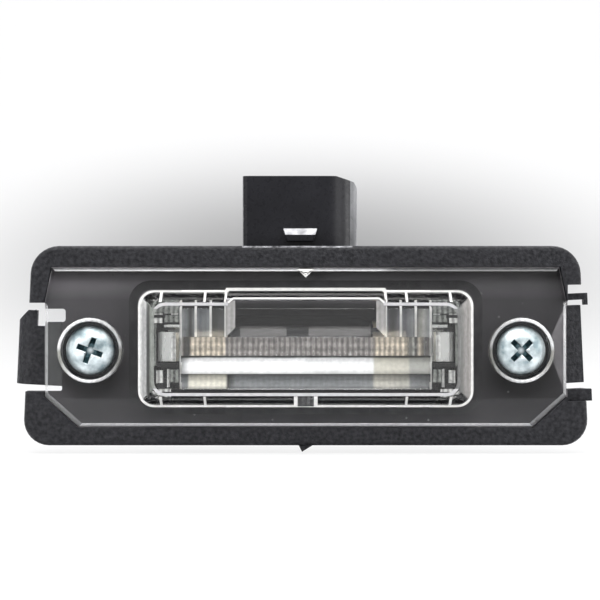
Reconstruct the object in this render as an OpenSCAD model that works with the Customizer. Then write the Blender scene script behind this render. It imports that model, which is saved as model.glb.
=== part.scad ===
/* [Flange] */
// Width of the flange, side to side
flange_w = 93; // [91:0.5:98]
// How much wider the flange is at each side below than in its middle
flange_flare = 0.55; // [0.2:0.05:0.8]
// Height of the flange
flange_h = 33.3; // [32.3:0.5:37]
// Height of the flange's middle above the screw line
flange_rise = 0.8; // [0.4:0.1:1.2]
// Thickness of the flange under the lens
seat_t = 2; // [1.8:0.1:2.6]
// Height of the rim above the lens seat
rim_h = 2.1; // [1.6:0.1:2.6]
// Width of the rim at the two sides
rim_side = 3; // [2.6:0.1:3.4]
// Width of the rim above the lens
rim_top = 3.7; // [3:0.1:4]
// Width of the rim below the lens
rim_low = 3.2; // [2.6:0.1:3.6]
// Radius of the upper flange corners
corner_top_r = 4.8; // [3:0.2:5.4]
// Radius of the lower flange corners
corner_low_r = 4.2; // [3.2:0.2:6]
// Width of the soft edge round the rim's front
rim_soft = 0.8; // [0.3:0.1:1.2]
// Width of the small arrow under the flange
nub_w = 3.4; // [2:0.2:5]
// Height of the small arrow under the flange
nub_h = 1.1; // [0.6:0.1:1.6]

/* [Bulb bay] */
// Distance from each screw to the end of the open bay
bay_in = 8.7; // [8.4:0.1:9.4]
// Height of the open bay behind the window
bay_h = 17.8; // [17.6:0.1:18.6]
// Room between the bulb's glass and the bay's floor
bay_room = 1.55; // [1.2:0.05:3]
// Wall round the bay
bay_wall = 1.7; // [1.4:0.1:2.2]
// Floor of the bay
bay_floor = 2.2; // [2:0.1:2.8]
// Height of the ribs on the back of the bay
back_rib_h = 0.7; // [0.4:0.1:1.2]
// Height of the bay's middle above the screw line
bay_rise = 0.5; // [0.3:0.1:0.7]
// Thickness of the ribs that stiffen the bay and the lugs
rib_t = 1.2; // [0.9:0.1:1.6]

/* [Snap tongue] */
// Height of the tongue's arm
tongue_h = 10.5; // [9.5:0.5:11.5]
// Thickness of the tongue
tongue_t = 1.4; // [1.1:0.1:1.7]
// Outer radius of the tongue's bend
tongue_r = 3.5; // [3:0.1:4]
// How far the tongue stands out past the flange
tongue_out = 2.2; // [1:0.1:2.6]
// How far the tongue reaches behind the seating face
tongue_reach = 9; // [7:0.5:11]
// Width of the slot above the tongue
slot_top_h = 2.2; // [1.6:0.1:2.6]
// Width of the slot below the tongue
slot_low_h = 1.1; // [0.8:0.1:1.6]
// How far the slots run in under the lens
slot_in = 3.3; // [2.5:0.1:3.6]

/* [Lugs] */
// Height of the locating block on the right side
lug_h = 13; // [11:0.5:14]
// Height of the gaps between the block and its hooks
lug_gap = 1.1; // [0.8:0.1:1.5]
// Height of each hook
hook_h = 2; // [1.6:0.1:2.4]
// How far the hooks stand out past the block
hook_out = 1.1; // [0.6:0.1:1.6]
// How far the block reaches behind the seating face
lug_reach = 6; // [4:0.5:8]

/* [Connector] */
// Width of the connector shroud
plug_w = 19.6; // [17.6:0.5:21]
// Depth of the shroud, front to back
plug_d = 11.2; // [10.6:0.2:13]
// Height of the shroud's mouth above the screw line
plug_top = 29.5; // [27.5:0.5:32]
// Gap between the flange's back and the shroud
plug_gap = 2.4; // [2.2:0.1:3]
// Wall of the shroud
plug_wall = 1.6; // [1.3:0.1:1.9]
// Depth of the socket
socket_d = 12.4; // [10:0.2:13]
// Radius of the shroud's round front corner
plug_r = 6.2; // [4:0.2:7]
// Width of the latch nose
nose_w = 5.8; // [4:0.2:8]
// Height of the latch nose
nose_h = 2.2; // [1.6:0.1:3]
// How far the latch nose stands out
nose_out = 1.3; // [0.8:0.1:1.6]

/* [Lens] */
// Thickness of the lens plate
lens_t = 1.8; // [1.5:0.1:2]
// Width of the bevel round the lens plate
lens_bevel = 0.5; // [0.3:0.1:0.8]
// Width of the cut on the lower lens corners
cut_w = 5.7; // [4:0.1:6.5]
// Height of the cut on the lower lens corners
cut_h = 5.1; // [4:0.1:6]
// How much wider than the bay the window is at each end
win_over = 0.4; // [0.2:0.1:0.8]
// Height of the window where it leaves the plate
win_h = 19; // [18.6:0.1:19.6]
// How far the window stands out of the plate
win_d = 4.4; // [3.6:0.2:5.6]
// How far the window's end walls lean in
draft_side = 2.2; // [1.6:0.1:2.6]
// How far the window's long walls lean in
draft_long = 1.8; // [1.2:0.1:2]
// Wall of the window
win_wall = 1.7; // [1.4:0.1:1.9]
// Height of the window's middle above the screw line
win_rise = 0.3; // [0.1:0.1:0.6]
// Radius of the window's corners
win_r = 2.4; // [1.8:0.2:3]
// Distance from the window's end to the clear panel over the bulb
panel_in = 14.5; // [13.5:0.1:15.5]
// Width of the sloping border of the clear panel
panel_slope = 1.6; // [1:0.1:2]
// How far the clear panel stands out
panel_d = 0.6; // [0.3:0.1:1]
// Width of the beads round the window
bead_w = 0.5; // [0.3:0.05:0.7]
// Height of the beads round the window
bead_h = 0.25; // [0.15:0.05:0.4]

/* [Lens optics] */
// Height of the top of the optic bands above the screw line
band_top = 2.3; // [1.6:0.1:2.5]
// Height of the band of fine flutes
flute_h = 3.1; // [2.7:0.1:3.2]
// Height of the upper prism band
prism_h = 3; // [2.7:0.1:3.2]
// Height of the lower prism band
prism_low_h = 2.5; // [2.2:0.1:2.6]
// Depth of the upper prism's ridge
prism_d = 1.5; // [1:0.1:1.8]
// What the lower prism's ridge is deeper than the upper's
prism_more = 0.6; // [0:0.1:0.8]
// Distance between the fine flutes
flute_pitch = 0.87; // [0.7:0.01:1.2]
// Depth of the fine flutes
flute_d = 0.25; // [0.15:0.01:0.4]
// Distance between the ribs beside the clear panel
rib_pitch = 2.47; // [2.2:0.01:2.6]
// Thickness of these ribs
lens_rib_t = 0.4; // [0.3:0.05:0.6]
// Depth of these ribs
lens_rib_d = 1; // [0.6:0.1:1.4]
// Distance from the panel's edge to the inner gusset
gusset_in = 3.5; // [3:0.1:4]
// Distance from the panel's edge to the outer gusset
gusset_out = 10.8; // [10:0.1:11.2]
// Width of the block under the window
key_w = 3.9; // [3:0.1:5]

/* [Seal] */
// Width of the lens seal
seal_w = 1.5; // [1.2:0.1:1.8]
// Height of the lens seal in its groove
seal_h = 1; // [0.7:0.1:1.2]
// Distance from the bay's edge to the seal
seal_in = 0.8; // [0.6:0.1:1]

/* [Screws] */
// Distance from each screw to the flange's side
screw_in = 10.5; // [10.2:0.1:11]
// Diameter of the screw thread
screw_d = 4.2; // [3.9:0.1:4.8]
// Diameter of the neck that runs in the housing
neck_d = 3; // [2.6:0.1:3.2]
// Diameter of the screw head
head_d = 8.2; // [7.5:0.1:8.4]
// Height of the screw head
head_h = 2.4; // [2:0.1:2.8]
// Length of the thread behind the seating face
screw_reach = 13; // [10:0.5:16]
// Length of the screw's point
point_l = 2.6; // [2:0.2:3.4]
// Gap between the screw head and the collar round it
head_gap = 0.65; // [0.4:0.05:0.8]
// Width of the collar on the lens
collar_w = 0.8; // [0.6:0.05:1]
// How far the collar stands out of the plate
collar_h = 0.4; // [0.2:0.1:0.6]
// Height of the boss behind the lens plate
boss_h = 1; // [0.6:0.1:1.2]
// Thickness of the lens under the screw head
clamp_t = 1.2; // [1:0.1:1.6]

/* [Bulb] */
// Diameter of the glass
glass_d = 10.5; // [9.5:0.1:10.8]
// Thickness of the glass
glass_t = 0.45; // [0.3:0.05:0.6]
// Diameter of the caps
cap_d = 8.5; // [8.2:0.1:8.8]
// Length of each cap with its cone
cap_l = 8; // [7.4:0.1:8.4]
// Length of the cone on each cap
cone_l = 2.4; // [2:0.1:2.8]
// Diameter of the cone's end
tip_d = 3; // [2.4:0.1:3.4]
// Thickness of the cap metal
cap_t = 0.3; // [0.2:0.05:0.5]
// Sideways place of the bulb's middle
bulb_x = -0.9; // [-1.2:0.1:0]
// Height of the bulb above the screw line
bulb_y = 0.6; // [0.2:0.1:0.8]
// Depth of the bulb's axis behind the seating face
bulb_back = 2.2; // [2:0.1:2.6]
// Length of the coiled filament
coil_l = 10; // [8:0.5:12]
// Diameter of the coil
coil_d = 0.9; // [0.7:0.05:1.2]
// Diameter of the filament wire
wire_d = 0.16; // [0.12:0.02:0.24]
// Turns of the coil
coil_turns = 12; // [8:1:14]
// Diameter of the lead wires
lead_d = 0.5; // [0.4:0.05:0.6]
// Height of the solder drop on each tip
solder_h = 0.3; // [0.2:0.05:0.4]

/* [Contacts] */
// Room between each spring and the bay's end
spring_room = 2.6; // [2.4:0.1:3]
// How far each spring stands out past the bulb's tip
spring_out = 4.2; // [4:0.1:4.5]
// Width of each spring's bend
bend_w = 3.2; // [2.8:0.1:3.6]
// Thickness of the spring sheet
spring_t = 0.45; // [0.35:0.05:0.6]
// Sheet left above and below the spring's eye
eye_wall = 0.25; // [0.2:0.05:0.4]
// How far the bend stands in front of the bulb's axis
bend_rise = 5.6; // [5:0.1:6]
// Diameter of the hole that holds the bulb's cone
eye_d = 4.4; // [4:0.1:4.8]
// Length of the spring's foot
foot_l = 8.4; // [7.8:0.1:9]
// Thickness of the terminal strip
strip_t = 0.8; // [0.6:0.1:0.8]
// Plastic left over the strips in the bay's floor
strip_skin = 0.4; // [0.3:0.05:0.6]
// Width of the terminal strip and of its blade
strip_w = 2.8; // [2.4:0.1:3]
// Distance between the two blades
blade_span = 7.8; // [7:0.2:8.4]
// Length of the blades in the socket
blade_l = 9.6; // [8:0.2:10]
// Height of the strip's cross run above the bulb's axis
strip_run = 6; // [5.4:0.1:6.4]
// Diameter of the rivets
rivet_d = 2; // [1.6:0.1:2.4]
// Diameter of the rivet heads
rivet_head_d = 3.6; // [3.2:0.1:4]
// Height of the rivet heads
rivet_head_h = 0.5; // [0.3:0.1:0.6]

/* [Fits] */
// Gap between the lens and the rim round it
lens_gap = 0.2; // [0.1:0.05:0.35]
// Gap round the bosses of the lens
boss_gap = 0.15; // [0.1:0.05:0.25]
// Gap round the screw neck, the rivets and the strips
pass_gap = 0.1; // [0.05:0.05:0.15]
// Gap between the bulb's pieces and round the cones
bulb_gap = 0.05; // [0.03:0.01:0.1]

/* [Hidden] */
$fn = 48;

sides = [-1, 1];
cut = 0.5;
slice = 0.01;

screw_span = flange_w - 2 * screw_in;
bay_w = screw_span - 2 * bay_in;
springs_w = bay_w - 2 * spring_room;
bulb_l = springs_w - 2 * spring_out;
win_w = bay_w + 2 * win_over;
panel_w = win_w - 2 * panel_in;
bay_d = bulb_back + glass_d / 2 + bay_room;
spring_h = eye_d + 2 * eye_wall;

flange_x = flange_w / 2;
flange_top = flange_rise + flange_h / 2;
flange_low = flange_rise - flange_h / 2;
rim_z = seat_t + rim_h;
corner_step = [
    corner_low_r - corner_top_r - 2 * flange_flare,
    flange_h - corner_low_r - corner_top_r
];
edge_turn = atan2(corner_step.y, corner_step.x)
    - acos((corner_low_r - corner_top_r) / norm(corner_step));
lens_x = flange_x - rim_side;
lens_top = flange_top - rim_top;
lens_low = flange_low + rim_low;
lens_z = seat_t + lens_t;
lean_w = 1.2;
lean_h = 5.8;

screw_x = screw_span / 2;
boss_r = head_d / 2 + head_gap + collar_w - 0.35;
well_r = head_d / 2 + head_gap;
clamp_z = seat_t - boss_h + clamp_t;

bay_x = bay_w / 2;
bay_top = bay_rise + bay_h / 2;
bay_low = bay_rise - bay_h / 2;
bay_back = bay_d + bay_floor;
seal_x = bay_x + seal_in;
seal_top = bay_top + seal_in;
seal_low = bay_low - seal_in;

tongue_x = flange_x + tongue_out;
tongue_mid = -0.5;
tongue_hi = tongue_mid + tongue_h / 2;
tongue_lo = tongue_mid - tongue_h / 2;
tongue_horn = 2;
slot_x = lens_x - slot_in;

lug_mid = 1.1;
lug_hi = lug_mid + lug_h / 2;
lug_lo = lug_mid - lug_h / 2;
lug_x = flange_x;

win_z = lens_z + win_d;
roof_z = win_z - win_wall;
rib_count = 4;
rib_first = panel_w / 2 + 0.05;
band_x = rib_first + (rib_count - 1) * rib_pitch;
prism_top = band_top - flute_h;
prism_mid = prism_top - prism_h;
band_low = prism_mid - prism_low_h;

plug_x0 = bulb_x - plug_w / 2;
plug_x1 = bulb_x + plug_w / 2;
plug_back = plug_gap + plug_d;
socket_low = plug_top - socket_d;

axis_z = -bulb_back;
cap_x = bulb_l / 2 - solder_h;
shoulder_x = cap_x - cone_l;
cap_mouth_x = cap_x - cap_l;
neck_r = cap_d / 2 - cap_t - bulb_gap;
glass_end_x = shoulder_x - 1;
cone_slope = (cap_d - tip_d) / 2 / cone_l;
eye_x = cap_x - (eye_d / 2 - bulb_gap - tip_d / 2) / cone_slope;

foot_z = -bay_d - strip_skin;
strip_z = foot_z - strip_t;
wing_up = 1.2;
rivet_in = foot_l - rivet_head_d / 2 - 0.4;
rivet_x = springs_w / 2 - rivet_in;
run_y = bulb_y + strip_run;
blade_top = socket_low + blade_l;

// Points of an arc about a centre
function arc(cx, cy, r, from, to, steps = 8) =
    [for (i = [0:steps]) let(a = from + (to - from) * i / steps) [cx + r * cos(a), cy + r * sin(a)]];

// Points of a box with one radius below and one above
function round_box(x0, x1, y0, y1, low_r, top_r) =
    concat(
        arc(x1 - low_r, y0 + low_r, low_r, -90, 0),
        arc(x1 - top_r, y1 - top_r, top_r, 0, 90),
        arc(x0 + top_r, y1 - top_r, top_r, 90, 180),
        arc(x0 + low_r, y0 + low_r, low_r, 180, 270)
    );

// Outline of the flange, shrunk by g
function flange_points(g) =
    let(
        low_x = flange_x + flange_flare - corner_low_r,
        top_x = flange_x - flange_flare - corner_top_r,
        low_y = flange_low + corner_low_r,
        top_y = flange_top - corner_top_r
    )
    concat(
        arc(low_x, low_y, corner_low_r - g, -90, edge_turn),
        arc(top_x, top_y, corner_top_r - g, edge_turn, 90),
        arc(-top_x, top_y, corner_top_r - g, 90, 180 - edge_turn),
        arc(-low_x, low_y, corner_low_r - g, 180 - edge_turn, 270)
    );

// Outline of the lens plate, grown by g
function lens_points(g) = [
    [cut_w - lens_x - g, lens_low - g],
    [lens_x + g - cut_w, lens_low - g],
    [lens_x + g, lens_low - g + cut_h],
    [lens_x + g, lens_top + g - lean_h],
    [lens_x + g - lean_w, lens_top + g],
    [lean_w - lens_x - g, lens_top + g],
    [-lens_x - g, lens_top + g - lean_h],
    [-lens_x - g, lens_low - g + cut_h]
];

// Half width and half height of the window's outer wall at a height over the plate
function win_half_w(up) = win_w / 2 - draft_side * up / win_d;
function win_half_h(up) = win_h / 2 - draft_long * up / win_d;

// Flat outline drawn in width and height, extruded towards the front
module upright(z0, z1) {
    translate([0, 0, z0])
        linear_extrude(z1 - z0)
            children();
}

// Side section drawn in width and depth, extruded upwards
module along_y(y0, y1) {
    translate([0, y1, 0])
        rotate([90, 0, 0])
            linear_extrude(y1 - y0)
                children();
}

// End section drawn in height and depth, extruded to the right
module along_x(x0, x1) {
    translate([x0, 0, 0])
        rotate([90, 0, 90])
            linear_extrude(x1 - x0)
                children();
}

// Box given by its lowest and highest corner
module block(low, high) {
    translate(low)
        cube(high - low);
}

// Round bar along the width
module bar_x(x0, x1, d, y, z) {
    translate([x0, y, z])
        rotate([0, 90, 0])
            cylinder(h = x1 - x0, d = d);
}

// Turns a piece from the drawing plane to its place: front towards -Y, top towards +Z
module in_place() {
    rotate([90, 0, 0])
        children();
}

// Flange with its soft front edge
module flange_body() {
    insets = [0, 0, rim_soft * 0.3, rim_soft];
    heights = [0, rim_z - rim_soft, rim_z - rim_soft * 0.35, rim_z - slice];
    hull()
        for (i = [0:3])
            upright(heights[i], heights[i] + slice)
                polygon(flange_points(insets[i]));
}

// Turns a piece of the flange's edge to the slant of that edge
module slanted(x, y, turn) {
    translate([x, y, 0])
        rotate([0, 0, turn])
            translate([-x, -y, 0])
                children();
}

// Space that leaves the tongue free of the flange
module tongue_gap() {
    gap_hi = tongue_hi + slot_top_h;
    gap_lo = tongue_lo - slot_low_h;
    edge_x = lens_x + lens_gap;
    wide = flange_x + flange_flare + cut - edge_x;
    end_r = slot_low_h * 0.45;
    upright(-cut, rim_z + cut) {
        translate([-edge_x - wide, gap_lo])
            square([wide, gap_hi + 1 - gap_lo]);
        polygon(round_box(-edge_x - 1, -slot_x, tongue_hi, gap_hi, end_r, end_r));
        polygon(round_box(-edge_x - 1, -slot_x - 0.6, gap_lo, tongue_lo, end_r, end_r));
    }
    upright(tongue_t, seat_t + cut)
        translate([-edge_x - cut, gap_lo])
            square([edge_x + cut - slot_x - 0.6, gap_hi - gap_lo]);
}

// Spring tongue: an arm that bends back and ends in a lead-in
module tongue() {
    bend_x = tongue_r - tongue_x;
    bend_z = tongue_t - tongue_r;
    inner_r = tongue_r - tongue_t;
    lead = 1.1;
    horn_in = lens_x + 1.8;
    horn_dip = 0.6;
    difference() {
        along_y(tongue_lo, tongue_hi + tongue_horn)
            polygon(concat(
                [[-slot_x + cut, 0], [-slot_x + cut, tongue_t]],
                arc(bend_x, bend_z, tongue_r, 90, 180),
                [[-tongue_x, 2.4 - tongue_reach], [lead - tongue_x, -tongue_reach]],
                [[tongue_t + 0.5 - tongue_x, -tongue_reach], [tongue_t - tongue_x, 2.4 - tongue_reach]],
                arc(bend_x, bend_z, inner_r, 180, 90)
            ));
        upright(-tongue_reach - cut, tongue_t + cut) {
            translate([-horn_in, tongue_hi - horn_dip])
                square([horn_in - lens_x - lens_gap, tongue_horn + horn_dip + cut]);
            translate([-lens_x - 1, tongue_hi])
                square([lens_x, tongue_horn + cut]);
            polygon([
                [-tongue_x - cut, tongue_hi - 0.3],
                [-tongue_x + tongue_horn + 0.3, tongue_hi + tongue_horn + cut],
                [-tongue_x - cut, tongue_hi + tongue_horn + cut]
            ]);
        }
    }
}

// Room on the right side for the locating block and its hooks
module lug_gap_cut() {
    upright(-cut, rim_z + cut)
        translate([lens_x + lens_gap, lug_lo - lug_gap - hook_h])
            square([flange_x, lug_h + 2 * lug_gap + 2 * hook_h + 0.3]);
}

// Locating block with a hook above and below it
module lugs() {
    root_x = lens_x - 1.2;
    along_y(lug_lo, lug_hi)
        polygon([
            [root_x, 0], [root_x, seat_t], [lug_x, seat_t - 1], [lug_x, -lug_reach + 1],
            [lug_x - 1, -lug_reach], [lens_x + lens_gap, -lug_reach], [lens_x + lens_gap, 0]
        ]);
    difference() {
        for (y0 = [lug_hi, lug_lo - lug_gap - hook_h])
            along_y(y0, y0 + hook_h)
                polygon([
                    [root_x, 0], [root_x, seat_t], [lug_x + hook_out, seat_t], [lug_x + hook_out, 0.6],
                    [lug_x + hook_out - 0.6, 0], [lug_x, -2.5], [lens_x + lens_gap, -2.5],
                    [lens_x + lens_gap, 0]
                ]);
        block(
            [lens_x + lens_gap + 0.5, lug_hi - slice, -lug_reach],
            [lug_x + hook_out - 0.65, lug_hi + hook_h * 0.45, seat_t + cut]
        );
    }
}

// Bay for the bulb, closed at the back, with gussets to the flange
module bay_shell() {
    out_x = bay_x + bay_wall;
    upright(-bay_back, cut)
        polygon(round_box(-out_x, out_x, bay_low - bay_wall, bay_top + bay_wall, 2.4, 2.4));
    for (side = sides, y = [bay_low + 1, bay_rise - rib_t / 2, bay_top - 1 - rib_t])
        along_y(y, y + rib_t)
            polygon([
                [side * (out_x - cut), cut], [side * (out_x + 2.2), cut],
                [side * (out_x + 2.2), -0.4], [side * (out_x - cut), -bay_back + 3]
            ]);
}

// Outline of the shroud seen from its mouth, shrunk by g
function plug_points(g) =
    let(
        x0 = plug_x0 + g,
        x1 = plug_x1 - g,
        z0 = -plug_back + g,
        z1 = -plug_gap - g,
        big = plug_r - g,
        small = 1.2 - min(g, 0.8)
    )
    concat(
        arc(x1 - small, z0 + small, small, -90, 0, 3),
        arc(x1 - big, z1 - big, big, 0, 90, 12),
        arc(x0 + small, z1 - small, small, 90, 180, 3),
        arc(x0 + small, z0 + small, small, 180, 270, 3)
    );

// Connector shroud that opens upwards, with its latch nose
module plug_shroud() {
    nose_top = flange_top + 3.15;
    difference() {
        along_y(bay_top, plug_top)
            polygon(plug_points(0));
        upright(-plug_back - cut, -plug_gap + cut)
            polygon([
                [plug_x1 - 3.7, plug_top], [plug_x1 - 0.6, plug_top - 0.9], [plug_x1, plug_top - 2],
                [plug_x1 + cut, plug_top - 2], [plug_x1 + cut, plug_top + cut],
                [plug_x1 - 3.7, plug_top + cut]
            ]);
    }
    intersection() {
        along_x(bulb_x - nose_w / 2, bulb_x + nose_w / 2)
            polygon([
                [nose_top, -plug_gap - plug_wall / 2], [nose_top, -plug_gap],
                [nose_top - nose_h / 2, nose_out - plug_gap], [nose_top - nose_h, nose_out - plug_gap],
                [nose_top - nose_h, -plug_gap - plug_wall / 2]
            ]);
        upright(-plug_back, cut)
            polygon([
                [bulb_x - nose_w / 2 + 0.7, nose_top - nose_h], [bulb_x + nose_w / 2 - 0.7, nose_top - nose_h],
                [bulb_x + nose_w / 2, nose_top], [bulb_x - nose_w / 2, nose_top]
            ]);
    }
}

// Room for the socket and for the strips that reach it
module plug_hollow() {
    along_y(socket_low, plug_top + cut)
        polygon(plug_points(plug_wall));
}

// Opening of the bay
module bay_outline() {
    polygon(round_box(-bay_x, bay_x, bay_low, bay_top, 1, 1));
}

// Posts that guard the springs' lower edges
module bay_posts() {
    post_x = springs_w / 2 + 0.5;
    post_y = bulb_y - spring_h / 2 - 1;
    for (side = sides)
        upright(-bay_d - cut, 0)
            polygon([
                [side * (bay_x + cut), bay_low - cut], [side * (bay_x + cut), post_y],
                [side * post_x, post_y], [side * post_x, post_y - 1.2],
                [side * (post_x - 2.4), post_y - 1.2], [side * (post_x - 2.4), bay_low - cut]
            ]);
}

// Pockets in the bay's floor where the springs stand on the strips, and the strips' own room
module floor_pockets() {
    room = 0.3;
    for (side = sides) {
        mirror([side < 0 ? 1 : 0, 0, 0])
            block(
                [springs_w / 2 - foot_l - room, bulb_y - spring_h / 2 - room, foot_z],
                [springs_w / 2 + room, bulb_y + spring_h / 2 + wing_up + room, cut - bay_d]
            );
        terminal_body(side);
    }
}

// Ribs that stiffen the back of the bay
module back_ribs() {
    rib_x = rivet_x + rivet_head_d / 2 + 1.2;
    for (x = [-rib_x - rib_t, rib_x])
        block([x, bay_low, -bay_back - back_rib_h], [x + rib_t, bay_top, cut - bay_back]);
    for (y = [bay_low + 1.5, bay_top - 1.5 - rib_t])
        block([-rib_x, y, -bay_back - back_rib_h], [rib_x, y + rib_t, cut - bay_back]);
}

// Holes for one screw: the lens boss, the neck and its lead-in
module screw_cut(x) {
    translate([x, 0, seat_t - boss_h - boss_gap])
        cylinder(h = rim_h + boss_h + cut, r = boss_r + boss_gap);
    translate([x, 0, -cut])
        cylinder(h = seat_t + cut, d = neck_d + 2 * pass_gap);
    translate([x, 0, -slice])
        cylinder(h = 0.6 + slice, d1 = screw_d + 1.2, d2 = neck_d + 2 * pass_gap);
}

// Groove and ring of the lens seal
module seal_ring(z0, z1) {
    outer = seal_w + 2.2;
    upright(z0, z1)
        difference() {
            polygon(round_box(-seal_x - seal_w, seal_x + seal_w, seal_low - seal_w, seal_top + seal_w, outer, outer));
            polygon(round_box(-seal_x, seal_x, seal_low, seal_top, 2.2, 2.2));
        }
}

module housing() {
    color("#333439")
        in_place()
            difference() {
                union() {
                    difference() {
                        flange_body();
                        upright(seat_t, rim_z + cut)
                            polygon(lens_points(lens_gap));
                        upright(-cut, seat_t + cut)
                            bay_outline();
                        tongue_gap();
                        lug_gap_cut();
                    }
                    upright(0, rim_z - rim_soft)
                        polygon([
                            [-nub_w * 0.42, flange_low + cut], [-nub_w * 0.18, flange_low - nub_h],
                            [nub_w * 0.58, flange_low + cut]
                        ]);
                    slanted(-flange_x, tongue_mid, -edge_turn)
                        tongue();
                    slanted(flange_x, lug_mid, edge_turn)
                        lugs();
                    difference() {
                        union() {
                            bay_shell();
                            back_ribs();
                            plug_shroud();
                        }
                        upright(-bay_d, seat_t + cut)
                            bay_outline();
                    }
                    bay_posts();
                }
                plug_hollow();
                floor_pockets();
                seal_ring(seat_t - seal_h, seat_t + cut);
                for (side = sides) {
                    screw_cut(side * screw_x);
                    translate([side * rivet_x, bulb_y, -bay_back - cut])
                        cylinder(h = bay_floor + 2 * cut, d = rivet_d + 2 * pass_gap);
                }
            }
}

// One slice of the window's outline at a height over the plate
module window_slice(up, inset) {
    w = win_half_w(up) - inset;
    h = win_half_h(up) - inset;
    r = max(win_r - inset, 0.8);
    translate([0, 0, lens_z + up])
        linear_extrude(slice)
            polygon(round_box(-w, w, win_rise - h, win_rise + h, r, r));
}

// Window box, solid, with its raised clear panel and the ribs on its sloping walls
module window_body() {
    top_y = win_rise + win_half_h(win_d);
    low_y = win_rise - win_half_h(win_d);
    panel_x = panel_w / 2;
    hull() {
        window_slice(-slice, 0);
        window_slice(win_d - slice, 0);
    }
    intersection() {
        along_y(band_top, top_y + 0.7)
            polygon([
                [-panel_x, lens_z], [panel_x, lens_z], [panel_x, win_z],
                [panel_x - panel_slope, win_z + panel_d], [panel_slope - panel_x, win_z + panel_d],
                [-panel_x, win_z]
            ]);
        along_x(-panel_x, panel_x)
            polygon([
                [band_top, win_z - 1], [band_top, win_z], [band_top + panel_slope, win_z + panel_d],
                [top_y + 0.3, win_z + panel_d], [top_y + 0.7, win_z - 0.5],
                [top_y + 0.7 + draft_long * 0.6, lens_z - slice], [top_y - 1, lens_z - slice]
            ]);
    }
    for (side = sides, x = [rib_first, panel_x + gusset_in, panel_x + gusset_out])
        along_x(side * x - lens_rib_t / 2, side * x + lens_rib_t / 2)
            polygon([
                [top_y - 1, lens_z - slice], [win_rise + win_h / 2 - 0.1, lens_z - slice],
                [win_rise + win_h / 2 - 0.1, lens_z + 0.9], [top_y + 0.1, win_z - 0.2], [top_y - 1, win_z - 0.2]
            ]);
    for (side = sides, x = [panel_x + gusset_in, panel_x + gusset_out])
        along_x(side * x - lens_rib_t / 2, side * x + lens_rib_t / 2)
            polygon([
                [low_y + 1, lens_z - slice], [win_rise - win_h / 2 + 0.1, lens_z - slice],
                [win_rise - win_h / 2 + 0.1, lens_z + 0.9], [low_y - 0.1, win_z - 0.2], [low_y + 1, win_z - 0.2]
            ]);
    along_x(-key_w / 2, key_w / 2)
        polygon([
            [low_y + 1, lens_z - slice], [win_rise - win_h / 2, lens_z - slice],
            [win_rise - win_h / 2, win_z - 1.8], [low_y - 0.3, win_z - 0.2], [low_y + 1, win_z - 0.2]
        ]);
}

// Ribs, fine flutes and prism bands on the inside of the window
module window_optics() {
    root = roof_z + 0.2;
    flutes = floor(2 * band_x / flute_pitch);
    flutes_x = -flutes * flute_pitch / 2;
    inner_top = win_rise + win_half_h(win_d - win_wall) - win_wall / 2;
    for (side = sides, i = [0:rib_count - 1])
        let(x = side * (rib_first + i * rib_pitch), low = i == rib_count - 1 ? band_low : band_top)
            block([x - lens_rib_t / 2, low, roof_z - lens_rib_d], [x + lens_rib_t / 2, inner_top, root]);
    along_y(prism_top, band_top)
        polygon(concat(
            [for (i = [0:flutes]) [flutes_x + i * flute_pitch, roof_z - (i % 2 == 0 ? 0.1 : 0.1 + flute_d)]],
            [[-flutes_x, root], [flutes_x, root]]
        ));
    for (ridge = [[prism_top, prism_mid, prism_d], [prism_mid, band_low, prism_d + prism_more]])
        along_x(-band_x, band_x)
            polygon([
                [ridge[0], root], [ridge[0], roof_z - ridge[2]], [ridge[1], roof_z - 0.1], [ridge[1], root]
            ]);
}

// Outline of the window at a height over the plate, grown by g, with a step over the clear panel
function window_points(up, g, lift, slant) =
    let(
        w = win_half_w(up) + g,
        top_y = win_rise + win_half_h(up) + g,
        low_y = win_rise - win_half_h(up) - g,
        r = win_r + g,
        x = panel_w / 2 - slant + g
    )
    concat(
        arc(w - r, low_y + r, r, -90, 0),
        arc(w - r, top_y - r, r, 0, 90),
        [[x + slant, top_y], [x, top_y + lift], [-x, top_y + lift], [-x - slant, top_y]],
        arc(r - w, top_y - r, r, 90, 180),
        arc(r - w, low_y + r, r, 180, 270)
    );

// Beads along the window's foot and along its front edge
module window_beads() {
    upright(lens_z - slice, lens_z + bead_h)
        difference() {
            polygon(window_points(0, bead_w / 2, 0.4, 0.2));
            polygon(window_points(0, -bead_w / 2, 0.4, 0.2));
        }
    upright(win_z - bead_w, win_z + bead_h * 0.6)
        difference() {
            polygon(window_points(win_d, 0, 0.6, 1));
            polygon(window_points(win_d, -bead_w, 0.6, 1));
        }
}

module lens() {
    color("#d8dcdf", 0.45)
        in_place()
            difference() {
                union() {
                    difference() {
                        union() {
                            hull() {
                                upright(seat_t, lens_z - lens_bevel)
                                    polygon(lens_points(0));
                                upright(lens_z - slice, lens_z)
                                    polygon(lens_points(-lens_bevel));
                            }
                            window_body();
                            window_beads();
                        }
                        hull() {
                            window_slice(-lens_t - slice, win_wall);
                            window_slice(win_d - win_wall - slice, win_wall);
                        }
                    }
                    window_optics();
                    for (side = sides)
                        translate([side * screw_x, 0, seat_t]) {
                            translate([0, 0, -boss_h])
                                cylinder(h = boss_h + cut, r = boss_r);
                            cylinder(h = lens_t + collar_h, r = well_r + collar_w);
                        }
                }
                upright(seat_t - boss_h - cut, lens_z + cut)
                    polygon([[-1, lens_top + slice], [0, lens_top - 1.3], [1, lens_top + slice]]);
                for (side = sides)
                    translate([side * screw_x, 0, clamp_z]) {
                        cylinder(h = win_z, r = well_r);
                        translate([0, 0, -seat_t])
                            cylinder(h = win_z, d = screw_d + 2 * pass_gap);
                    }
            }
}

module lens_seal() {
    color("#141414")
        in_place()
            seal_ring(seat_t - seal_h, seat_t);
}

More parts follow.
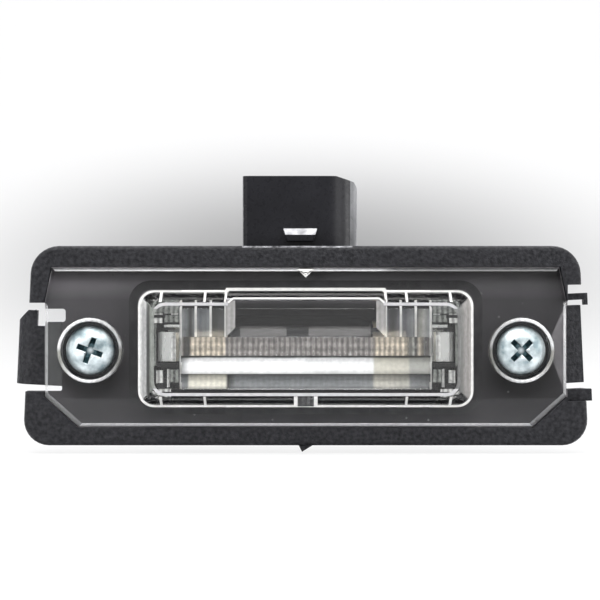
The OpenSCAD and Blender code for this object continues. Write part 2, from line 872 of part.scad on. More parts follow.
// Pan head screw with a cross recess, a thin neck and a thread behind the flange
module screw(x, turn) {
    edge = 0.7;
    crown = 0.35;
    cross_r = head_d * 0.27;
    cross_w = 0.9;
    cross_d = head_h * 0.7;
    color("#c9ced2")
        in_place()
            translate([x, 0, clamp_z])
                rotate([0, 0, turn])
                    difference() {
                        union() {
                            rotate_extrude()
                                polygon(concat(
                                    [[0, 0], [head_d / 2 - 0.1, 0]],
                                    arc(head_d / 2 - edge, edge, edge, 0, 50, 5),
                                    [[head_d * 0.3, head_h - crown], [head_d * 0.19, head_h - crown / 4], [0, head_h]]
                                ));
                            translate([0, 0, -clamp_z])
                                cylinder(h = clamp_z, d = neck_d);
                            translate([0, 0, -clamp_z - screw_reach + point_l])
                                cylinder(h = screw_reach - point_l, d = screw_d);
                            translate([0, 0, -clamp_z - screw_reach])
                                cylinder(h = point_l, d1 = 0.6, d2 = screw_d);
                        }
                        for (a = [0, 90])
                            rotate([0, 0, a])
                                along_x(-cross_w / 2, cross_w / 2)
                                    polygon([
                                        [-cross_r, head_h + cut], [-cross_r, head_h - cross_d / 3],
                                        [-cross_r / 2, head_h - cross_d], [cross_r / 2, head_h - cross_d],
                                        [cross_r, head_h - cross_d / 3], [cross_r, head_h + cut]
                                    ]);
                    }
}

// Places a piece of the bulb on its axis, turned to the left or right end
module on_bulb(side) {
    in_place()
        translate([bulb_x, bulb_y, axis_z])
            rotate([0, side * 90, 0])
                children();
}

// Glass tube with drawn-in ends, each pierced by its lead
module bulb_glass() {
    r = glass_d / 2;
    bend = cap_mouth_x - 0.3;
    color("#dfe7ea", 0.35)
        on_bulb(1)
            rotate_extrude()
                polygon(concat(
                    [[lead_d / 2, -glass_end_x], [neck_r, -glass_end_x], [neck_r, -bend]],
                    [[r, -bend + 1.8], [r, bend - 1.8], [neck_r, bend], [neck_r, glass_end_x]],
                    [[lead_d / 2, glass_end_x], [lead_d / 2, glass_end_x - 1.2], [neck_r - glass_t, bend]],
                    [[r - glass_t, bend - 2], [r - glass_t, 2 - bend], [neck_r - glass_t, -bend]],
                    [[lead_d / 2, 1.2 - glass_end_x]]
                ));
}

// Pressed metal cap with a cone, open towards the glass
module bulb_cap(side) {
    r = cap_d / 2;
    tip = tip_d / 2;
    color("#cbb68f")
        on_bulb(side)
            rotate_extrude()
                polygon([
                    [r - cap_t, cap_mouth_x], [r, cap_mouth_x], [r, shoulder_x], [tip, cap_x],
                    [lead_d / 2, cap_x], [lead_d / 2, cap_x - cap_t], [tip, cap_x - cap_t - 0.1],
                    [r - cap_t, shoulder_x - 0.1]
                ]);
}

// Coiled wire, swept along a helix that starts and ends on the axis
module bulb_filament() {
    per_turn = 12;
    ring = 6;
    steps = coil_turns * per_turn;
    swing = (coil_d - wire_d) / 2;
    function reach(i) = swing * min(1, i / per_turn, (steps - i) / per_turn);
    points = [
        for (i = [0:steps], k = [0:ring - 1])
            let(
                a = 360 * i / per_turn,
                b = 360 * k / ring,
                out = reach(i) + wire_d / 2 * cos(b)
            )
            [coil_l * (i / steps - 0.5) + wire_d / 2 * sin(b), out * cos(a), out * sin(a)]
    ];
    sides_of = [
        for (i = [0:steps - 1], k = [0:ring - 1])
            let(next = (k + 1) % ring)
            [i * ring + k, i * ring + next, (i + 1) * ring + next, (i + 1) * ring + k]
    ];
    near_end = [[for (k = [0:ring - 1]) ring - 1 - k]];
    far_end = [[for (k = [0:ring - 1]) steps * ring + k]];
    color("#5c5b5a")
        in_place()
            translate([bulb_x, bulb_y, axis_z])
                polyhedron(points = points, faces = concat(sides_of, near_end, far_end));
}

// Lead wire from the filament through the glass to the cap's tip
module bulb_lead(side) {
    start = coil_l / 2 + wire_d / 2;
    color("#b8b5ae")
        on_bulb(side)
            translate([0, 0, start])
                cylinder(h = cap_x - start, d = lead_d);
}

// Drop of solder that joins lead and cap
module bulb_solder(side) {
    color("#a9abad")
        on_bulb(side)
            translate([0, 0, cap_x])
                cylinder(h = solder_h, d1 = tip_d - 0.8, d2 = tip_d - 1.6);
}

// Sheet spring: a foot, a riser, a bend and a leg whose eye holds the bulb's cone
module contact_spring(side) {
    t = spring_t;
    out_x = springs_w / 2;
    top_z = axis_z + bend_rise;
    leg_x = side * bulb_x + eye_x;
    bend_r = 0.8;
    in_x = out_x - bend_w;
    wing_y = bulb_y + spring_h / 2 + wing_up;
    low = bulb_y - spring_h / 2;
    color("#c2c5c4")
        in_place()
            mirror([side < 0 ? 1 : 0, 0, 0])
                difference() {
                    union() {
                        along_y(low, low + spring_h)
                            polygon(concat(
                                [[out_x - foot_l, foot_z], [out_x, foot_z]],
                                arc(out_x - bend_r, top_z - bend_r, bend_r, 0, 90, 5),
                                arc(in_x + bend_r, top_z - bend_r, bend_r, 90, 180, 5),
                                [[leg_x, axis_z + 2.6], [leg_x, axis_z - 2.6], [leg_x + 0.9, axis_z - 4.2]],
                                [[leg_x + 0.9 + t, axis_z - 4.2], [leg_x + t, axis_z - 2.6], [leg_x + t, axis_z + 2.6]],
                                arc(in_x + bend_r, top_z - bend_r, bend_r - t, 180, 90, 5),
                                arc(out_x - bend_r, top_z - bend_r, bend_r - t, 90, 0, 5),
                                [[out_x - t, foot_z + t], [out_x - foot_l, foot_z + t]]
                            ));
                        block([out_x - 3.6, low, foot_z], [out_x - 0.9, wing_y, foot_z + t]);
                        block([out_x - 3.6, wing_y - t, foot_z], [out_x - 0.9, wing_y, axis_z + 3.4]);
                    }
                    bar_x(0, out_x - t - 0.2, eye_d, bulb_y, axis_z);
                    translate([rivet_x, bulb_y, foot_z - cut])
                        cylinder(h = 2 * cut + t, d = rivet_d + 2 * pass_gap);
                }
}

// Terminal strip: an eye under the rivet, a run along the bay's floor and a blade in the socket
module terminal_body(side) {
    eye_r = strip_w / 2 + 0.5;
    blade_x = bulb_x + side * blade_span / 2;
    end_x = side * rivet_x;
    half = strip_w / 2;
    tip = 0.5;
    upright(strip_z, foot_z) {
        translate([end_x, bulb_y])
            circle(r = eye_r);
        translate([end_x - half, bulb_y])
            square([strip_w, strip_run + half]);
        translate([min(blade_x, end_x) - half, run_y - half])
            square([abs(end_x - blade_x) + strip_w, strip_w]);
        polygon([
            [blade_x - half, run_y], [blade_x + half, run_y], [blade_x + half, blade_top - 1],
            [blade_x + half - tip, blade_top], [blade_x - half + tip, blade_top],
            [blade_x - half, blade_top - 1]
        ]);
    }
}

// The strip with its rivet hole
module terminal(side) {
    color("#c9a85c")
        in_place()
            difference() {
                terminal_body(side);
                translate([side * rivet_x, bulb_y, strip_z - cut])
                    cylinder(h = strip_t + 2 * cut, d = rivet_d + 2 * pass_gap);
            }
}

// Rivet that holds the spring and the strip to the bay's floor
module rivet(side) {
    head_z = foot_z + spring_t;
    color("#cfae66")
        in_place()
            translate([side * rivet_x, bulb_y, 0]) {
                translate([0, 0, -bay_back])
                    cylinder(h = bay_back + head_z, d = rivet_d);
                translate([0, 0, head_z])
                    cylinder(h = rivet_head_h, d1 = rivet_head_d, d2 = rivet_head_d - 0.6);
                translate([0, 0, -bay_back - rivet_head_h])
                    cylinder(h = rivet_head_h, d1 = rivet_head_d - 0.6, d2 = rivet_head_d);
            }
}

housing();
lens();
lens_seal();
screw(-screw_x, 18);  // screw_left
screw(screw_x, 45);  // screw_right
bulb_glass();
bulb_cap(-1);  // bulb_cap_left
bulb_cap(1);  // bulb_cap_right
bulb_filament();
bulb_lead(-1);  // bulb_lead_left
bulb_lead(1);  // bulb_lead_right
bulb_solder(-1);  // bulb_solder_left
bulb_solder(1);  // bulb_solder_right
contact_spring(-1);  // contact_spring_left
contact_spring(1);  // contact_spring_right
terminal(-1);  // terminal_left
terminal(1);  // terminal_right
rivet(-1);  // rivet_left
rivet(1);  // rivet_right
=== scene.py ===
import math

import bmesh
import bpy
from mathutils import Matrix, Vector


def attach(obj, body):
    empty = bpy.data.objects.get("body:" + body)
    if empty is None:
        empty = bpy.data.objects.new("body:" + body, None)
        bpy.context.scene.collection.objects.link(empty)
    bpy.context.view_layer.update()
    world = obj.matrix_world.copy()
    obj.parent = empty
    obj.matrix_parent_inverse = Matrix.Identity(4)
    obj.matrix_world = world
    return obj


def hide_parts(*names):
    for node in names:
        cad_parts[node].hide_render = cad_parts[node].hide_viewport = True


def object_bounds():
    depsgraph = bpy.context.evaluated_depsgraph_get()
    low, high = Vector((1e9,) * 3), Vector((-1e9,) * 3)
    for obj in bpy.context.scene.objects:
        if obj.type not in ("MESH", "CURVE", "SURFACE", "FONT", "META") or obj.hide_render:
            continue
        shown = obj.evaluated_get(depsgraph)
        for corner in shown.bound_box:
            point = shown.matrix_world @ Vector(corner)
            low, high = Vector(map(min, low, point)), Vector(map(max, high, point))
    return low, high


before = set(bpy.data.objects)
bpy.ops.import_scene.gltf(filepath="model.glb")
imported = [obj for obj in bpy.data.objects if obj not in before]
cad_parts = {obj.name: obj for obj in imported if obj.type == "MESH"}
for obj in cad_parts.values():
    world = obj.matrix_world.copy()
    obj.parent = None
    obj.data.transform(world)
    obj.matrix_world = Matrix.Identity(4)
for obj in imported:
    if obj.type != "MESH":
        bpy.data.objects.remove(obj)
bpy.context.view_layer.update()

# Camera
# The lamp is seen square on from its front, with the whole connector above it.
# The frame is 100 mm wide where the housing's rim is.
MM = 0.001
frame_width = 100 * MM
view_distance = 350 * MM
view_x, rim_front, view_z = -0.95 * MM, -4.1 * MM, 8.42 * MM
sensor_width = 36
camera = bpy.data.objects.new("camera", bpy.data.cameras.new("camera"))
camera.data.sensor_width = sensor_width
camera.data.lens = sensor_width * view_distance / frame_width
camera.data.clip_start = 0.01
camera.location = (view_x, rim_front - view_distance, view_z)
camera.rotation_euler = (math.radians(90), 0, 0)
bpy.context.scene.collection.objects.link(camera)
bpy.context.scene.camera = camera


# Housing
# One moulding in black glass-filled plastic: flange with rim, bay for the bulb, connector
# shroud, snap tongue and locating block. The tool's surface is pebbled, and the seat under
# the lens is plain. Its free edges have the small radius that a mould leaves.
def mesh_piece(bm, name, materials, smooth_below=32):
    # Edges that turn by less than smooth_below degrees are shaded smooth.
    mesh = bpy.data.meshes.new(name)
    bm.to_mesh(mesh)
    bm.free()
    for material in materials:
        mesh.materials.append(material)
    mesh.shade_smooth()
    mesh.set_sharp_from_angle(angle=math.radians(smooth_below))
    piece = bpy.data.objects.new(name, mesh)
    bpy.context.scene.collection.objects.link(piece)
    even = piece.modifiers.new("even_shading", "WEIGHTED_NORMAL")
    even.keep_sharp = True
    return piece


# Copies a piece of the frame and gives its sharp edges a radius, in millimetres. Edges that
# lie in the plane y = flush_at stay sharp, and so do edges with too little room round them.
def softened(node, radius, flush_at=None):
    sharp_angle, least_room, in_plane = math.radians(28), 2.3 * radius * MM, 0.01
    bm = bmesh.new()
    bm.from_mesh(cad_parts[node].data)
    bmesh.ops.remove_doubles(bm, verts=bm.verts, dist=1e-6)
    bmesh.ops.dissolve_limit(bm, angle_limit=math.radians(0.5), verts=bm.verts, edges=bm.edges)
    bm.normal_update()
    roomy = {v for v in bm.verts if min(e.calc_length() for e in v.link_edges) > least_room}
    corners = [
        e for e in bm.edges
        if e.is_manifold and e.calc_face_angle(0) > sharp_angle and roomy.issuperset(e.verts)
        and (flush_at is None or max(abs(v.co.y / MM - flush_at) for v in e.verts) > in_plane)
    ]
    bmesh.ops.bevel(
        bm, geom=corners, offset=radius * MM, offset_type="OFFSET", segments=3, profile=0.5,
        affect="EDGES", clamp_overlap=True, material=-1,
    )
    return bm


# Cuts the faces of a mesh where they cross a plane.
def split(bm, point, way, clear_outer=False):
    bmesh.ops.bisect_plane(
        bm, geom=bm.verts[:] + bm.edges[:] + bm.faces[:], plane_co=point, plane_no=way,
        clear_outer=clear_outer,
    )


# Each input of a shader node gets a constant, or the output that feeds it.
def set_inputs(node, inputs):
    for name, value in inputs.items():
        if isinstance(value, bpy.types.NodeSocket):
            node.id_data.links.new(value, node.inputs[name])
        else:
            node.inputs[name].default_value = value
    return node


def add_node(tree, kind, inputs, **settings):
    node = tree.nodes.new("ShaderNode" + kind)
    for name, value in settings.items():
        setattr(node, name, value)
    return set_inputs(node, inputs)


# A surface with two tones in soft patches, a gloss that varies with a fine grain, and that
# grain raised by a depth in millimetres. Patches and grain are numbers per metre.
def finish(name, dark, light, patches, gloss, grain, depth, metallic=0.0, stretch=(1, 1, 1)):
    material = bpy.data.materials.new(name)
    material.use_nodes = True
    tree = material.node_tree
    place = add_node(tree, "TexCoord", {})
    along = add_node(tree, "Mapping", {"Vector": place.outputs["Object"], "Scale": stretch})
    cloud = add_node(
        tree, "TexNoise", {"Vector": along.outputs["Vector"], "Scale": patches, "Detail": 3}
    )
    tone = add_node(tree, "ValToRGB", {"Fac": cloud.outputs["Fac"]})
    for stop, spot, colour in zip(tone.color_ramp.elements, (0.32, 0.68), (dark, light)):
        stop.position = spot
        stop.color = (*colour, 1)
    speck = add_node(
        tree, "TexNoise", {"Vector": along.outputs["Vector"], "Scale": grain, "Detail": 2}
    )
    rough = add_node(tree, "MapRange", {
        "Value": speck.outputs["Fac"], "From Min": 0.3, "From Max": 0.7,
        "To Min": gloss[0], "To Max": gloss[1],
    })
    bump = add_node(
        tree, "Bump", {"Height": speck.outputs["Fac"], "Strength": 1, "Distance": depth * MM}
    )
    set_inputs(tree.nodes["Principled BSDF"], {
        "Base Color": tone.outputs["Color"], "Metallic": metallic,
        "Roughness": rough.outputs["Result"], "Normal": bump.outputs["Normal"],
    })
    return material


def grey(level):
    return (level, level, level)


# A tone that changes along one axis. Each stop is a place in millimetres and its colour.
def tone_along(tree, source, stops):
    low, high = stops[0][0], stops[-1][0]
    along = add_node(
        tree, "MapRange", {"Value": source, "From Min": low * MM, "From Max": high * MM}
    )
    tone = add_node(tree, "ValToRGB", {"Fac": along.outputs["Result"]})
    for spot, colour in stops[1:-1]:
        tone.color_ramp.elements.new((spot - low) / (high - low)).color = (*colour, 1)
    tone.color_ramp.elements[0].color = (*stops[0][1], 1)
    tone.color_ramp.elements[len(stops) - 1].color = (*stops[-1][1], 1)
    return tone.outputs["Color"]


housing_looks = {
    "pebbled": finish(
        "pebbled_black", (0.003, 0.003, 0.0045), (0.023, 0.023, 0.026), 1500, (0.4, 0.6), 1700, 0.19
    ),
    "seat": finish(
        "plain_black", (0.115, 0.109, 0.113), (0.165, 0.157, 0.162), 55, (0.34, 0.46), 900, 0.003
    ),
    "smooth": finish(
        "smooth_black", (0.007, 0.007, 0.009), (0.013, 0.013, 0.016), 110, (0.24, 0.36), 1200, 0.012
    ),
    # Painted highlight: light specks that stand for glints along the connector's upper front edges.
    "painted_highlight": finish(
        "glint_painted_black", (0.26, 0.26, 0.27), (0.66, 0.66, 0.68), 700, (0.3, 0.45), 1500, 0.01
    ),
    # Painted reflection: the connector's rounded right side is painted lighter, as a sheen.
    "painted_side_sheen": finish(
        "side_sheen_painted_black", (0.12, 0.122, 0.125), (0.22, 0.222, 0.226), 240, (0.26, 0.36), 1200, 0.012
    ),
    # Painted highlight: the latch nose's top face is painted bright, with dark patches.
    "painted_nose_highlight": finish(
        "nose_highlight_painted_black", (0.01, 0.01, 0.012), (0.4, 0.4, 0.42), 900, (0.3, 0.45), 1700, 0.1
    ),
    "tongue": finish(
        "tongue_black", (0.05, 0.051, 0.052), (0.075, 0.076, 0.077), 300, (0.3, 0.44), 1200, 0.008
    ),
}
for look in housing_looks.values():
    set_inputs(look.node_tree.nodes["Principled BSDF"], {"Specular IOR Level": 0.22})

# The seat is seen through the lens. It is painted lighter towards its top edge, against the
# rim's shade there, and lighter towards the left: painted light. Small light specks lie on it.
seat = housing_looks["seat"].node_tree
seat_place = seat.nodes["Texture Coordinate"].outputs["Object"]
seat_xyz = add_node(seat, "SeparateXYZ", {"Vector": seat_place})
# Painted light: the tone rises towards the top edge, to cancel the rim's shade.
seat_painted_rise = tone_along(seat, seat_xyz.outputs["Z"], [
    (-14, grey(0.22)), (-10.64, grey(0.2)), (0, grey(0.23)), (8.4, grey(0.25)),
    (12.32, grey(0.62)), (14, grey(0.62)),
])
# Painted light: the seat grows lighter towards the left.
seat_painted_drift = add_node(seat, "MapRange", {
    "Value": seat_xyz.outputs["X"], "From Min": -42 * MM, "From Max": -8 * MM,
    "To Min": 8.5, "To Max": 5.0,
})
seat_both = add_node(
    seat, "Math", {0: seat_painted_rise, 1: seat_painted_drift.outputs["Result"]}, operation="MULTIPLY"
)
seat_tone = add_node(
    seat, "Mix",
    {"Factor": 1, "A": seat.nodes["Color Ramp"].outputs["Color"], "B": seat_both.outputs[0]},
    data_type="RGBA", blend_type="MULTIPLY",
)
specks = add_node(seat, "TexVoronoi", {"Vector": seat_place, "Scale": 400})
near_speck = add_node(seat, "MapRange", {
    "Value": specks.outputs["Distance"], "From Min": 0.03, "From Max": 0.1,
    "To Min": 0.8, "To Max": 0.0,
})
specked = add_node(
    seat, "Mix",
    {
        "Factor": near_speck.outputs["Result"], "A": seat_tone.outputs["Result"],
        "B": (0.5, 0.5, 0.48, 1),
    },
    data_type="RGBA",
)
set_inputs(
    seat.nodes["Principled BSDF"],
    {"Base Color": specked.outputs["Result"], "Specular IOR Level": 0.08},
)

# Places on the housing in millimetres, along the frame's own axes.
seat_y = -2.0
lens_side = 43.9
tongue_right, tongue_half = -39.5, 6.5
bay_side, bay_foot, bay_top, bay_back = 27.2, -8.3, 9.3, 9.1
plug_foot, plug_rim, plug_side = 17.7, 2.3, 7.6
nose_x, nose_half, nose_front, nose_foot = -1.4, 9.2, -3.2, 16.5
plug_left, plug_right = -10.6, 7.8


def housing_zone(face):
    middle = face.calc_center_median() / MM
    facing = face.normal
    on_plug = middle.z > plug_foot
    on_nose = abs(middle.x - nose_x) < nose_half and middle.z > nose_foot and middle.y < nose_front
    # The latch nose's top face gets a painted highlight.
    if on_nose and facing.z > 0.6:
        return "painted_nose_highlight"
    # The connector's rounded right side gets a painted reflection.
    if on_plug and middle.x > plug_side and facing.y < 0.02 and facing.x > 0.5:
        return "painted_side_sheen"
    # Upward faces at the connector's front get painted glints, a painted highlight.
    if on_plug and middle.y < plug_rim and facing.z > 0.3:
        return "painted_highlight"
    if facing.y < -0.2 and abs(middle.y - seat_y) < 0.2 and abs(middle.x) < lens_side:
        return "seat"
    if facing.y < -0.9 and -lens_side < middle.x < tongue_right and abs(middle.z) < tongue_half:
        return "tongue"
    in_bay = abs(middle.x) < bay_side and bay_foot < middle.z < bay_top and middle.y < bay_back
    return "smooth" if on_plug or in_bay else "pebbled"


shell = softened("housing", 0.18, flush_at=seat_y)
for column in (-lens_side, plug_left, plug_right, lens_side):
    split(shell, (column * MM, 0, 0), (1, 0, 0))
housing_zones = list(housing_looks)
for face in shell.faces:
    face.material_index = housing_zones.index(housing_zone(face))
housing = mesh_piece(shell, "housing_moulding", housing_looks.values())
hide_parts("housing")
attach(housing, "root")


# Lens seal
# A soft rubber ring pressed into the groove round the bay, under the lens.
# It is cut from foam sheet, so its surface is full of fine pores.
seal_rubber = finish(
    "seal_rubber", (0.12, 0.115, 0.118), (0.17, 0.163, 0.166), 500, (0.75, 0.95), 4200, 0.05
)
seal = mesh_piece(softened("lens_seal", 0.06, flush_at=seat_y), "lens_seal_ring", [seal_rubber])
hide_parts("lens_seal")
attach(seal, "root")


# Terminal strips
# Two strips stamped from brass sheet, moulded into the bay's floor and ending as blades
# in the connector. Their edges are slightly rolled by the die.
strip_brass = finish(
    "strip_brass", (0.55, 0.4, 0.17), (0.66, 0.5, 0.24), 160, (0.24, 0.42), 1800, 0.006,
    metallic=1.0, stretch=(1, 1, 0.12),
)
for side in ("left", "right"):
    strip = mesh_piece(softened(f"terminal_{side}", 0.12), f"terminal_strip_{side}", [strip_brass])
    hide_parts(f"terminal_{side}")
    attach(strip, "root")


# Contact springs
# Two springs bent from tinned steel sheet. Each has a foot under the rivet, a broad bend
# that faces the lens, and a leg with the eye that holds the bulb's cone.
spring_tin = finish(
    "spring_tin", (0.82, 0.83, 0.8), (0.93, 0.93, 0.9), 260, (0.25, 0.34), 1500, 0.003,
    metallic=0.75, stretch=(1, 1, 0.15),
)
for side in ("left", "right"):
    spring = mesh_piece(
        softened(f"contact_spring_{side}", 0.09), f"bulb_spring_{side}", [spring_tin]
    )
    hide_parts(f"contact_spring_{side}")
    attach(spring, "root")


# Rivets
# Two brass rivets, upset on both sides, that hold spring and strip to the bay's floor.
# The upset heads keep the marks of the punch.
rivet_brass = finish(
    "rivet_brass", (0.58, 0.44, 0.2), (0.7, 0.56, 0.3), 900, (0.22, 0.4), 3000, 0.02, metallic=1.0
)
for side in ("left", "right"):
    rivet = mesh_piece(softened(f"rivet_{side}", 0.1), f"floor_rivet_{side}", [rivet_brass])
    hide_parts(f"rivet_{side}")
    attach(rivet, "root")


# Bulb
# A festoon bulb of 41 mm: a drawn glass tube, a coiled filament on two leads, and a
# pressed cap with a cone at each end, closed by a drop of solder.
bulb_middle = Vector((-0.9, 2.2, 0.6)) * MM


# Turns an outline of places along an axis and radii, in millimetres, into a round piece.
def turned(profile, steps, middle, axis="X", closed=True):
    bm = bmesh.new()
    ring = [bm.verts.new((x * MM, 0, r * MM)) for x, r in profile]
    for a, b in zip(ring, ring[1:] + ring[:1] if closed else ring[1:]):
        bm.edges.new((a, b))
    bmesh.ops.spin(
        bm, geom=bm.verts[:] + bm.edges[:], cent=(0, 0, 0), axis=(1, 0, 0),
        angle=math.tau, steps=steps, use_merge=True,
    )
    bmesh.ops.remove_doubles(bm, verts=bm.verts, dist=1e-7)
    bmesh.ops.recalc_face_normals(bm, faces=bm.faces)
    if axis == "Y":
        bmesh.ops.rotate(bm, verts=bm.verts, matrix=Matrix.Rotation(math.radians(90), 3, "Z"))
    bmesh.ops.translate(bm, verts=bm.verts, vec=middle)
    return bm


# A see-through plastic or glass. For light on its way to what lies behind, it is plainly open.
def clear(name, tint, index, gloss, waves, height):
    material = finish(name, tint, tint, 60, gloss, waves, height)
    tree = material.node_tree
    shader = set_inputs(
        tree.nodes["Principled BSDF"],
        {"Transmission Weight": 1.0, "Specular IOR Level": 0.25, "IOR": index},
    )
    lets_light_in = add_node(tree, "BsdfTransparent", {"Color": (0.86, 0.87, 0.88, 1)})
    path = add_node(tree, "LightPath", {})
    either = add_node(tree, "MixShader", {
        "Fac": path.outputs["Is Shadow Ray"], 1: shader.outputs["BSDF"],
        2: lets_light_in.outputs["BSDF"],
    })
    set_inputs(tree.nodes["Material Output"], {"Surface": either.outputs["Shader"]})
    return material


def mirrored(profile):
    return [(-x, r) for x, r in profile]


# The outlines of the bulb's ends are drawn for the right end, and mirrored for the left one.
def at_end(side, profile):
    return profile if side == "right" else mirrored(profile)


bulb_clear = clear("bulb_clear", (0.97, 0.98, 0.98), 1.5, (0.0, 0.04), 120, 0.01)
tube_r, neck_r, wall, bore_r = 5.25, 3.9, 0.45, 0.26
tube_outside = [
    (16.8, bore_r), (16.8, neck_r), (12.1, neck_r), (11.6, 4.15), (11.1, 4.7), (10.6, 5.1),
    (9.9, tube_r),
]
tube_inside = [
    (9.8, tube_r - wall), (10.6, 4.55), (11.3, 4.0), (12.1, neck_r - wall), (15.6, bore_r),
]
tube_profile = mirrored(tube_outside) + tube_outside[::-1] + tube_inside[::-1] + mirrored(tube_inside)
tube = mesh_piece(turned(tube_profile, 64, bulb_middle), "bulb_tube", [bulb_clear], 50)
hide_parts("bulb_glass")
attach(tube, "root")

cap_metal = finish(
    "cap_metal", (0.56, 0.49, 0.37), (0.72, 0.65, 0.52), 300, (0.26, 0.44), 2200, 0.008,
    metallic=1.0, stretch=(0.15, 1, 1),
)
cap_r, cap_sheet, cone_end = 4.25, 0.3, 20.2
cap_profile = [
    (12.2, cap_r - cap_sheet), (12.2, cap_r - 0.05), (12.4, cap_r), (17.6, cap_r),
    (17.85, cap_r - 0.12), (20.1, 1.55), (cone_end, 1.4), (cone_end, bore_r),
    (cone_end - cap_sheet, bore_r), (19.8, 1.4), (17.7, cap_r - cap_sheet),
]
for side in ("left", "right"):
    cap = mesh_piece(
        turned(at_end(side, cap_profile), 56, bulb_middle), f"bulb_end_cap_{side}", [cap_metal]
    )
    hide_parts(f"bulb_cap_{side}")
    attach(cap, "root")

lead_wire = finish(
    "lead_wire", (0.4, 0.39, 0.36), (0.52, 0.5, 0.46), 700, (0.3, 0.5), 2500, 0.004, metallic=1.0
)
lead_profile = [(5.08, 0), (5.08, 0.22), (5.11, 0.25), (cone_end, 0.25), (cone_end, 0)]
solder = finish(
    "solder", (0.4, 0.41, 0.42), (0.52, 0.53, 0.54), 900, (0.3, 0.55), 2600, 0.02, metallic=1.0
)
drop_profile = [
    (cone_end, 0), (cone_end, 1.1), (20.32, 1.02), (20.43, 0.75), (20.49, 0.4), (20.5, 0),
]
for side in ("left", "right"):
    lead = mesh_piece(
        turned(at_end(side, lead_profile), 20, bulb_middle, closed=False),
        f"bulb_lead_wire_{side}", [lead_wire],
    )
    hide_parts(f"bulb_lead_{side}")
    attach(lead, "root")
    tip = mesh_piece(
        turned(at_end(side, drop_profile), 28, bulb_middle, closed=False),
        f"bulb_tip_solder_{side}", [solder], 60,
    )
    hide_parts(f"bulb_solder_{side}")
    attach(tip, "root")

tungsten = finish(
    "tungsten", (0.12, 0.12, 0.12), (0.2, 0.2, 0.2), 900, (0.35, 0.55), 3000, 0.002, metallic=1.0
)
coil_length, coil_r, wire_r = 10.0, 0.37, 0.08
coil_turns, coil_steps = 16, 20
wire_start = Vector((-coil_length / 2, 0, coil_r)) * MM
coil = bmesh.new()
bmesh.ops.create_circle(
    coil, cap_ends=False, segments=8, radius=wire_r * MM, matrix=Matrix.Translation(wire_start)
)
bmesh.ops.rotate(
    coil, verts=coil.verts, cent=wire_start, matrix=Matrix.Rotation(math.radians(90), 3, "X")
)
bmesh.ops.spin(
    coil, geom=coil.verts[:] + coil.edges[:], cent=(0, 0, 0), axis=(1, 0, 0),
    dvec=(coil_length * MM / (coil_turns * coil_steps), 0, 0), angle=math.tau * coil_turns,
    steps=coil_turns * coil_steps, use_merge=False,
)
bmesh.ops.holes_fill(coil, edges=[e for e in coil.edges if e.is_boundary])
bmesh.ops.recalc_face_normals(coil, faces=coil.faces)
bmesh.ops.translate(coil, verts=coil.verts, vec=bulb_middle)
filament = mesh_piece(coil, "bulb_filament_coil", [tungsten], 60)
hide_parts("bulb_filament")
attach(filament, "root")


# Lens
# One moulding in clear plastic: a plate with a bevel, the raised window with its clear
# panel, ribs and gussets, and inside it fine flutes and two prism bands that spread the
# bulb's light. The mould leaves small radii along its edges, and these are painted bright:
# painted highlights.

# Places on the lens in millimetres: across from its middle, up from the screws' axis, and
# out in front of the seating face at the flange's back.
screw_x = 36
well_r, well_out = 4.9, 1.9
window_side, window_foot, window_top = 28.5, -10, 10.6
outer_bead, inner_bead = (3.7, 3.95, 4.12), (7.6, 8.25, 8.5)
end_side, end_foot, end_top, end_low, end_high = 24.6, -6, 7, 2.2, 8.3
end_cut = -6.2
rib_rows, rib_half = (13.25, 15.72, 18.19, 20.66), 0.26
rib_out, outer_ribs = 6.4, 20
gusset_rows, gusset_half, gusset_wide = (13.25, 16.7, 24.0), 0.28, 0.7
gusset_top, gusset_foot = 8.3, -7.5
key_half, key_side, key_foot, key_top = 1.35, 2, -9.3, -7.4
box_out, panel_out = 4, 8.7
wall_near, wall_far, wall_out = 11.4, 13.35, 8
field_near, field_far, field_foot, field_low, field_high = 13.3, 20.6, 2.3, 6.4, 6.6
bands_side, bands_foot, bands_top, bands_low, bands_high = 20.9, -6.5, 2.4, 3.4, 6.45
flutes_foot, white_foot = -0.82, -3.82
notch_half, notch_foot = 1.1, 12
rim_top, rim_foot, rim_side, rim_corner = 13.1, -12, 42.9, 50.2

lens_shell = softened("lens", 0.12)
cuts = [(turn * row, (1, 0, 0)) for row in (key_half, *rib_rows) for turn in (-1, 1)]
cuts += [(level, (0, 0, 1)) for level in (field_foot, end_top, end_cut)]
for reach, way in cuts:
    split(lens_shell, Vector(way) * reach * MM, way)


# A bead's face is known by how far out it starts and by where its crest lies.
def on_bead(deep, start, crest_low, crest_high):
    return min(deep) > start and crest_low < max(deep) < crest_high


